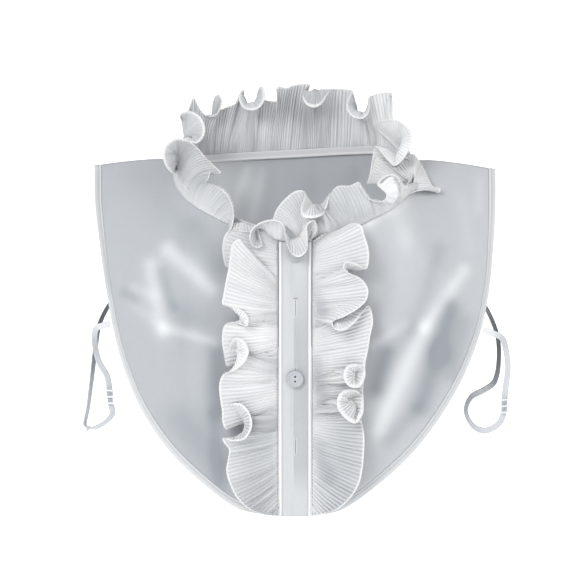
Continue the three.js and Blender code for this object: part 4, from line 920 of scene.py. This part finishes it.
def collar_strip(columns, shares):
    at, x, y, _, bulge, _, z = columns.T
    over = np.clip((-at - HALF_NECK.total + 2 * COLLAR_FOOT.overlap) / COLLAR_FOOT.overlap, 0, 1)
    clear = COLLAR_FOOT.out + COLLAR_FOOT.step * over * over * (3 - 2 * over)
    foot = neck_at(at) + clear[:, None] * outward_at(at) + (0, 0, COLLAR_FOOT.up)
    knee = foot + (np.stack([x, y, z], axis=-1) - foot) * COLLAR_KNEE
    knee[:, 2] += bulge
    return strip(foot, knee, columns, shares)


def frill_strip(side):
    def places(columns, shares):
        at, x, y, _, bulge, _, z = columns.T
        foot = chest_line(side * (FRONT_EDGE + FRILL_FOOT.out), at) - (0, FRILL_FOOT.forward, 0)
        knee = (foot + np.stack([x, y, z], axis=-1)) / 2
        knee[:, 1] -= bulge
        return strip(foot, knee, columns, shares)

    return places


def grid_normals(middle):
    return unit(np.cross(np.gradient(middle, axis=1), np.gradient(middle, axis=0)))


def new_piece(name, places, faces, material, smooth=True):
    """A mesh piece from places in millimetres."""
    mesh = bpy.data.meshes.new(name)
    mesh.from_pydata((np.asarray(places) * MM).tolist(), [], faces)
    if smooth:
        mesh.shade_smooth()
    piece = bpy.data.objects.new(name, mesh)
    bpy.context.scene.collection.objects.link(piece)
    mesh.materials.append(material)
    return piece


# The cell beside each side of a cell, as steps down and across, and the side's two corners in the same steps
CELL_SIDES = (
    (-1, 0, (0, 0), (0, 1)),
    (0, 1, (0, 1), (1, 1)),
    (1, 0, (1, 1), (1, 0)),
    (0, -1, (1, 0), (0, 0)),
)


def side_walls(cells, columns, count):
    """Walls between the two faces of a sheet, wherever a kept cell ends."""
    padded = np.pad(cells, 1)
    rows, across = cells.shape
    walls = []
    for down, aside, first, second in CELL_SIDES:
        beside = padded[1 + down : 1 + down + rows, 1 + aside : 1 + aside + across]
        j, i = np.nonzero(cells & ~beside)
        a = (j + first[0]) * columns + i + first[1]
        b = (j + second[0]) * columns + i + second[1]
        walls.append(np.stack([b, a, count + a, count + b], axis=-1))
    return np.concatenate(walls)


def cloth(name, middle, thick, material, keep=None, **marks):
    """A closed sheet of cloth about a grid of places, cut through where cells aren't kept."""
    rows, columns = middle.shape[:2]
    half = grid_normals(middle) * np.broadcast_to(np.asarray(thick, float), (rows, columns))[..., None] / 2
    places = np.concatenate([(middle + half).reshape(-1, 3), (middle - half).reshape(-1, 3)])
    cells = np.ones((rows - 1, columns - 1), bool) if keep is None else keep
    j, i = np.nonzero(cells)
    count = rows * columns
    a, b, c, d = j * columns + i, j * columns + i + 1, (j + 1) * columns + i + 1, (j + 1) * columns + i
    front = np.stack([a, b, c, d], axis=-1)
    back = count + np.stack([a, d, c, b], axis=-1)
    faces = np.concatenate([front, back, side_walls(cells, columns, count)])
    piece = new_piece(name, places, faces.tolist(), material)
    for mark, values in marks.items():
        flat = np.broadcast_to(values, (rows, columns)).reshape(-1)
        attribute = piece.data.attributes.new(mark, "FLOAT", "POINT")
        attribute.data.foreach_set("value", np.concatenate([flat, flat]).astype(np.float32))
    return piece


def ruffle_normals(middle, reach):
    """Directions off the cloth, taken over a few pleats so that no single pleat turns them."""
    along = np.zeros_like(middle)
    along[:, reach:-reach] = middle[:, 2 * reach :] - middle[:, : -2 * reach]
    along[:, :reach] = along[:, reach : reach + 1]
    along[:, -reach:] = along[:, -reach - 1 : -reach]
    return unit(np.cross(along, np.gradient(middle, axis=0)))


def crispness(kind, at, down):
    """How sharp the pleats are: sharp all over at the back of the collar, elsewhere mostly near the edge."""
    level = CRISP.frill
    if kind == "collar":
        level = np.clip((CRISP.back_reach - np.abs(at)) / CRISP.over, 0, 1)
    return level + (1 - level) * np.clip(down * CRISP.rise, 0, 1) * CRISP.at_edge


def pleated_ruffle(name, rows, places, kind, material, seed):
    """A gathered strip of accordion pleats with an overlocked edge."""
    steps = len(PLEATS.wave)
    columns, pleats = pleat_columns(rows, PLEAT_PITCH[kind], steps)
    at = columns[:, 0]
    near_edge = 1 - BEAD.width / RUFFLE.depth
    cloth_shares = np.linspace(0, near_edge - BEAD.step, RUFFLE.rows)
    shares = np.concatenate([cloth_shares, [near_edge, 1 - BEAD.full * (1 - near_edge), 1]])
    middle = places(columns, shares)
    down = shares[:, None]
    number = np.arange(len(at))
    pattern = np.array(PLEATS.wave)[number % steps]
    uneven = 1 + PLEATS.uneven * np.random.default_rng(seed).standard_normal(pleats + 1)
    fan = np.clip((at - FAN.start) / FAN.over, 0, 1) if kind == "frill" else 0 * at
    strength = np.interp(number / steps, np.arange(pleats + 1), uneven) * (1 + FAN.deeper * fan)
    crisp = crispness(kind, at, down)
    deep = PLEATS.shallow + (PLEATS.deep - PLEATS.shallow) * down ** PLEATS.deepen
    folded = pattern * strength * deep / 2 * (PLEATS.least + (1 - PLEATS.least) * crisp)
    row = np.arange(len(shares))[:, None]
    in_bead = row >= RUFFLE.rows
    folded = folded * np.where(in_bead, BEAD.pleat, 1)
    away = folded + gathers(columns, shares, *GATHERS[kind])
    middle = middle + ruffle_normals(middle, steps) * away[:, :, None]
    thick = np.where(row > RUFFLE.rows, BEAD.thick, RUFFLE.thick)
    seam = np.exp(-((down / SEAM.fade) ** 2))
    if kind == "collar":
        stitches = np.sin(2 * np.pi * at / SEAM.stitch_pitch)
        thick = thick + SEAM.thick * seam * (SEAM.between + (1 - SEAM.between) * stitches)
    # Painted light and shade on the pleats: lighter on the crests, darker in the grooves, more so where the
    # pleats are crisp and where the frills fan out
    groove = 0.5 - 0.5 * pattern * crisp * (1 + FAN.darker * fan)
    tone = tone_at(RUFFLE_TONES[kind], middle, PLAIN_TONE[kind])
    return cloth(name, middle, thick, material, edge=in_bead * 1.0, groove=groove, tone=tone, seam=seam)


class Value:
    """A shader value whose arithmetic adds Math nodes."""

    def __init__(self, finish, socket):
        self.finish = finish
        self.socket = socket

    def math(self, operation, *inputs):
        return self.finish.node("ShaderNodeMath", {"operation": operation}, list(inputs))

    def __add__(self, other):
        return self.math("ADD", self, other)

    __radd__ = __add__

    def __sub__(self, other):
        return self.math("SUBTRACT", self, other)

    def __rsub__(self, other):
        return self.math("SUBTRACT", other, self)

    def __mul__(self, other):
        return self.math("MULTIPLY", self, other)

    __rmul__ = __mul__


class Finish:
    """A material under construction."""

    def __init__(self, name):
        self.material = bpy.data.materials.new(name)
        self.material.use_nodes = True
        self.tree = self.material.node_tree
        self.tree.nodes.clear()

    def node(self, kind, settings, inputs, output=0):
        """Adds a node: its settings first, then the values or links of its sockets."""
        made = self.tree.nodes.new(kind)
        for name, value in settings.items():
            setattr(made, name, value)
        pairs = inputs.items() if isinstance(inputs, dict) else enumerate(inputs)
        for name, value in pairs:
            if isinstance(value, Value):
                self.tree.links.new(value.socket, made.inputs[name])
            else:
                made.inputs[name].default_value = value
        return Value(self, made.outputs[output]) if len(made.outputs) else made

    def mark(self, name):
        return self.node("ShaderNodeAttribute", {"attribute_name": name}, {}, "Fac")

    def places(self):
        return self.node("ShaderNodeTexCoord", {}, {}, "Object")

    def noise(self, scale, detail=2.0):
        inputs = {"Vector": self.places(), "Scale": scale, "Detail": detail}
        return self.node("ShaderNodeTexNoise", {}, inputs, "Fac")

    def mixed(self, share, first, second):
        return self.node("ShaderNodeMix", {"data_type": "RGBA"}, {0: share, 6: first, 7: second}, 2)

    def bump(self, height, distance, strength):
        inputs = {"Height": height, "Distance": distance, "Strength": strength}
        return self.node("ShaderNodeBump", {}, inputs)

    def surface(self, shader):
        self.node("ShaderNodeOutputMaterial", {}, {"Surface": shader})
        return self.material


def crepe(finish, colour, bump, rough, light, glow, alpha):
    """Matt cloth that lets some light through, both as a glow and as a view of what is behind it."""
    inputs = {"Base Color": colour, "Roughness": rough, "Normal": bump, "Alpha": alpha}
    inputs["Sheen Weight"] = CREPE.sheen
    body = finish.node("ShaderNodeBsdfPrincipled", {}, inputs, "BSDF")
    through_light = finish.node("ShaderNodeBsdfTranslucent", {}, {"Color": (*light, 1)}, "BSDF")
    return finish.surface(finish.node("ShaderNodeMixShader", {}, {0: glow, 1: body, 2: through_light}))


def sheer_finish(name, dark, light, glow, clear):
    """Fine crepe: matt, softly mottled, as light as its tone mark says, with the painted light and shade that
    it holds.
    """
    finish = Finish(name)
    weave = finish.noise(GRAIN.weave, 2)
    slub = finish.noise(GRAIN.slub, 3)
    share = finish.mark("tone") + CREPE.slub * (slub - 0.5) + CREPE.weave * (weave - 0.5)
    colour = finish.mixed(share, (*dark, 1), (*light, 1))
    bump = finish.bump(weave + CREPE.slub_bump * slub, GRAIN.height, SMOOTH_CREPE.bump)
    return crepe(finish, colour, bump, SMOOTH_CREPE.rough, light, glow, 1 - clear)


def pleated_finish(name, dark, light, thread, glow, clear):
    """The same crepe set in pleats, with an overlocked edge and a gathered seam in white thread."""
    finish = Finish(name)
    weave = finish.noise(GRAIN.weave, 2)
    edge = finish.mark("edge")
    groove = finish.mark("groove")
    # Painted shade darkens the pleats' grooves and painted light lightens their crests
    share = finish.mark("tone") + CREPE.weave * (weave - 0.5) - SET_CREPE.groove * (groove - 0.5)
    sewn = edge + SET_CREPE.seam * finish.mark("seam")
    cloth_colour = finish.mixed(share, (*dark, 1), (*light, 1))
    colour = finish.mixed(sewn, cloth_colour, (*thread, 1))
    bump = finish.bump(weave, GRAIN.height, SET_CREPE.bump)
    return crepe(finish, colour, bump, SET_CREPE.rough, light, glow, 1 - clear * (1 - edge))


def plain_finish(name, base, rough, coat):
    """Smooth plastic, faintly clouded."""
    finish = Finish(name)
    cloud = finish.noise(GRAIN.cloud, 2)
    dark = tuple(PLASTIC.dark * channel for channel in base)
    inputs = {
        "Base Color": finish.mixed(cloud, (*dark, 1), (*base, 1)),
        "Roughness": rough + PLASTIC.uneven * (cloud - 0.5),
        "Coat Weight": coat,
    }
    return finish.surface(finish.node("ShaderNodeBsdfPrincipled", {}, inputs, "BSDF"))


# The cloths, each with its colour where it shows darkest and where it shows lightest, how much light comes
# through it as a glow and how far it is clear
SHEER = sheer_finish("sheer_crepe", (0.25, 0.27, 0.295), (0.70, 0.715, 0.73), glow=0.16, clear=0.05)
HEMMED = sheer_finish("hemmed_crepe", (0.34, 0.355, 0.37), (0.80, 0.81, 0.82), glow=0.10, clear=0.0)
TAPE = sheer_finish("cotton_tape", (0.36, 0.36, 0.375), (0.86, 0.86, 0.87), glow=0.05, clear=0.0)
# The elastic's near-black dark colour is painted shade, for where its shaded side shows
ELASTIC = sheer_finish("ribbed_elastic", (0.07, 0.08, 0.09), (0.62, 0.64, 0.67), glow=0.05, clear=0.0)
THREAD = (0.70, 0.705, 0.71)
PLEATED = pleated_finish(
    "pleated_crepe", (0.28, 0.30, 0.325), (0.82, 0.825, 0.83), THREAD, glow=0.22, clear=0.03
)
PEARL = plain_finish("pearl_plastic", (0.36, 0.375, 0.40), rough=0.32, coat=0.3)
CLEAR_WHITE = plain_finish("white_nylon", (0.60, 0.61, 0.63), rough=0.4, coat=0.0)

BIBS = {"left": front_bib(-1), "right": front_bib(1)}
BACK = back_bib()


def keep(piece, slot, *nodes):
    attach(piece, "root")
    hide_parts(*nodes)


def bell(values, middle, width):
    return np.exp(-(((values - middle) / width) ** 2))


def bells(rows, column, values):
    """The sum of a table's bands at places across a piece."""
    bands = zip(rows[column], rows["at"], rows["width"])
    return sum(rise * bell(values, middle, width) for rise, middle, width in bands)


def hem_piece(name, surface, side, plain):
    """A turned hem: two thicknesses with a raised fold along the inner side and a rolled outer edge."""
    share = np.linspace(0, 1, HEM_CELLS[1] + 1)
    middle = grid(edge_band(surface, HEM.width), *HEM_CELLS)
    ridge = HEM.ridge * bells(HEM_RIDGES, "height", share)
    middle = middle + side * grid_normals(middle) * ridge[:, None, None]
    # Painted light and shade across the hem: a highlight along the raised fold and the rolled edge, and shade
    # just past the fold
    plain_bands = plain + bells(HEM_BANDS, "tone", share)[:, None]
    return cloth(name, middle, HEM.thick, HEMMED, tone=tone_at(HEM_TONES, middle, plain_bands))


def bib_piece(name, surface, cells, tones, plain):
    middle = grid(inside(surface, HEM.width + HEM.gap), *cells)
    return cloth(name, middle, CLOTH, SHEER, tone=tone_at(tones, middle, plain))


for name, side in (("left", -1), ("right", 1)):
    bib = bib_piece(f"bib_{name}", BIBS[name], FRONT_CELLS, FRONT_TONES, PLAIN_TONE[name])
    hem = hem_piece(f"hem_{name}", BIBS[name], side, EDGE_TONE.front_hem)
    keep(bib, "sheer_cloth", f"front_panel_{name}")
    keep(hem, "sheer_cloth", f"front_hem_{name}")

keep(bib_piece("back_bib", BACK, BACK_CELLS, BACK_TONES, PLAIN_TONE["back"]), "sheer_cloth", "back_panel")
keep(hem_piece("back_bib_hem", BACK, -1, EDGE_TONE.back_hem), "sheer_cloth", "back_hem")


def neck_tape():
    """The tape round the inside of the neck seam, from one front edge round the back to the other."""
    reach = HALF_NECK.total - FRONT_EDGE
    at = np.linspace(reach, -reach, TAPE_CELLS[0])
    foot = neck_at(at) - BAND.inset * outward_at(at)
    share = np.linspace(1, 0, TAPE_CELLS[1])
    rise = BAND.lift + BAND.height * share
    middle = foot[None] + np.stack([0 * rise, 0 * rise, rise], axis=-1)[:, None]
    tone = EDGE_TONE.tape + bells(TAPE_BANDS, "tone", share)
    return cloth("neck_tape", middle, BAND.thick, TAPE, tone=tone[:, None])


keep(neck_tape(), "sheer_cloth", "neckband")

ruffles = (
    ("stand_ruffle", COLLAR_EDGE, collar_strip, "collar", "collar_ruffle"),
    ("frill_left", LEFT_FRILL_EDGE, frill_strip(-1), "frill", "jabot_ruffle_left"),
    ("frill_right", RIGHT_FRILL_EDGE, frill_strip(1), "frill", "jabot_ruffle_right"),
)
for seed, (name, rows, places, kind, node) in enumerate(ruffles, FIRST_SEED):
    keep(pleated_ruffle(name, rows, places, kind, PLEATED, seed), "pleated_cloth", node)


def centre_strip(width, back, across, drops):
    """A strip down the centre front, at places across it and drops below the neck."""
    points = chest_line(width * (across[None, :] - 0.5), drops[:, None])
    points[..., 1] += back
    return points


def spread_places(first, last, known, count):
    """Evenly spread places that also hold the known ones."""
    return np.unique(np.concatenate([np.linspace(first, last, count), np.ravel(known)]))


def ramp(values, start, over):
    return np.clip((values - start) / over, 0, 1)


def button_stand():
    """The placket: folded edges, a soft crease, and buttonholes cut through, with raised rims."""
    width = PLACKET.width
    half_slit = BUTTONHOLES.slit / 2
    half_hole = BUTTONHOLES.length / 2
    holes = [(drop - half_hole, drop + half_hole) for drop in BUTTONHOLES.drops]
    rim_steps = BUTTONHOLES.middle + np.array([[-1], [1]]) * (half_slit + RIM_STEPS)
    edges = np.concatenate([FOLD_STEPS, width - FOLD_STEPS]) / width
    hole_ends = np.array(holes)[:, :, None] + HOLE_END_STEPS
    drops = spread_places(PLACKET.top, FRONT_DROP, hole_ends, STAND_CELLS[1])
    across = spread_places(0, 1, np.concatenate([np.ravel(rim_steps) / width + 0.5, edges]), STAND_CELLS[0])
    middle = centre_strip(width, -PLACKET.forward, across, drops)
    x = (across - 0.5) * width
    from_edge = width / 2 - np.abs(x)
    drop = drops[:, None]

    beside = np.maximum(np.abs(x - BUTTONHOLES.middle) - half_slit, 0)
    past_ends = (np.maximum(np.maximum(low - drop, drop - high), 0) for low, high in holes)
    rim = sum(bell(past, 0, HOLE_RIM.end) for past in past_ends) * bell(beside, 0, HOLE_RIM.width)
    come_and_go = 0.5 + 0.5 * np.sin(drop / STAND_CREASE.wave)
    crease = bell(x, STAND_CREASE.at, STAND_CREASE.width) * come_and_go
    wave = STAND_WAVE.height * np.sin(drop / STAND_WAVE.down + 1) * np.sin(x / STAND_WAVE.across)
    fold = STAND_FOLD.height * bell(from_edge, STAND_FOLD.inset, STAND_FOLD.width)
    middle[..., 1] -= fold + HOLE_RIM.height * rim - STAND_CREASE.depth * crease + wave

    # Painted shade over a band from just left of the placket's middle to 10 mm right of it, from below the
    # neck to near the foot, and in the soft crease; the folded edges get a painted highlight with painted
    # shade just inside
    beside_crease = (x > STAND_SHADE.from_x) & (x < STAND_SHADE.to_x)
    shade = ramp(drop, STAND_SHADE.from_drop, STAND_SHADE.over)
    shade = shade * ramp(-drop, -STAND_SHADE.to_drop, STAND_SHADE.fade) * beside_crease
    tone = EDGE_TONE.stand + bells(STAND_BANDS, "tone", from_edge)
    tone = tone + HOLE_RIM.tone * rim + STAND_CREASE.tone * crease + STAND_SHADE.tone * shade

    cell_drop = (drops[1:] + drops[:-1]) / 2
    cell_x = (x[1:] + x[:-1]) / 2
    in_hole = np.any([(cell_drop > low) & (cell_drop < high) for low, high in holes], axis=0)
    in_slit = np.abs(cell_x - BUTTONHOLES.middle) < half_slit
    uncut = ~(in_hole[:, None] & in_slit)
    return cloth("button_stand", middle, PLACKET.thick, HEMMED, uncut, tone=tone)


def button_facing():
    across = np.linspace(0, 1, FACING_CELLS[0])
    drops = np.linspace(PLACKET.top, FRONT_DROP, FACING_CELLS[1])
    middle = centre_strip(FACING.width, FACING.back, across, drops)
    return cloth("button_facing", middle, FACING.thick, HEMMED, tone=EDGE_TONE.facing)


keep(button_stand(), "sheer_cloth", "placket")
keep(button_facing(), "sheer_cloth", "under_placket")


def strap_route(rows):
    t = np.linspace(0, 1, STRAP_CELLS[0])
    return t, point_through(rows, t)


def strap_piece(name, rows):
    """A flat elastic along its route, turned as its table says."""
    t, line = strap_route(rows)
    turn = np.radians(through(rows, "turn", t))
    face = np.stack([-np.sin(turn), -np.cos(turn), 0 * turn], axis=-1)
    across = unit(np.cross(face, np.gradient(line, axis=0)))
    spread = np.linspace(-0.5, 0.5, STRAP_CELLS[1]) * STRAP.width
    middle = line[None] + spread[:, None, None] * across[None]
    return cloth(name, middle, STRAP.thick, ELASTIC, tone=through(rows, "tone", t)[None, :])


STRAPS = {"left": LEFT_STRAP, "right": RIGHT_STRAP}
for name, rows in STRAPS.items():
    keep(strap_piece(f"elastic_{name}", rows), "elastic", f"strap_{name}")


def repaint(node, material):
    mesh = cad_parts[node].data
    mesh.materials.clear()
    mesh.materials.append(material)


for node in ("button_top", "button_middle"):
    repaint(node, PEARL)
for node in ("slider_left", "slider_right"):
    repaint(node, CLEAR_WHITE)


# Each strap's route in metres, measured along its length
for name, rows in STRAPS.items():
    route = Line(strap_route(rows)[1] * MM)


def studio():
    world = bpy.data.worlds.new("studio")
    world.use_nodes = True
    world.node_tree.nodes["Background"].inputs["Color"].default_value = (1, 1, 1, 1)
    world.node_tree.nodes["Background"].inputs["Strength"].default_value = SKY
    bpy.context.scene.world = world
    bpy.ops.mesh.primitive_plane_add(size=FLOOR.size, location=(0, 0, FLOOR.drop))
    floor = bpy.context.object
    floor.name = "floor"
    paper = Finish("white_paper")
    white = (*[FLOOR.white] * 3, 1)
    glow = {"Emission Color": (1, 1, 1, 1), "Emission Strength": FLOOR.glow}
    inputs = {"Base Color": white, "Roughness": FLOOR.rough, **glow}
    floor.data.materials.append(paper.surface(paper.node("ShaderNodeBsdfPrincipled", {}, inputs, "BSDF")))
    for name, (place, size, power) in LAMPS.items():
        light = bpy.data.lights.new(name, "AREA")
        light.size = size
        light.energy = power
        lamp = bpy.data.objects.new(name, light)
        lamp.location = place
        lamp.rotation_euler = (Vector(LAMP_AIM) - Vector(place)).to_track_quat("-Z", "Y").to_euler()
        bpy.context.scene.collection.objects.link(lamp)


def camera():
    data = bpy.data.cameras.new("camera")
    data.sensor_width = CAMERA.sensor
    data.lens = CAMERA.sensor * CAMERA.distance / CAMERA.frame_width
    data.clip_end = CAMERA.reach
    eye = bpy.data.objects.new("camera", data)
    aim = Vector(CAMERA.aim) * MM
    direction = Vector((0, -math.cos(TILT), math.sin(TILT)))
    eye.location = aim + direction * CAMERA.distance
    eye.rotation_euler = (-direction).to_track_quat("-Z", "Y").to_euler()
    bpy.context.scene.collection.objects.link(eye)
    bpy.context.scene.camera = eye


studio()
camera()
bpy.context.scene.view_settings.view_transform = "Standard"
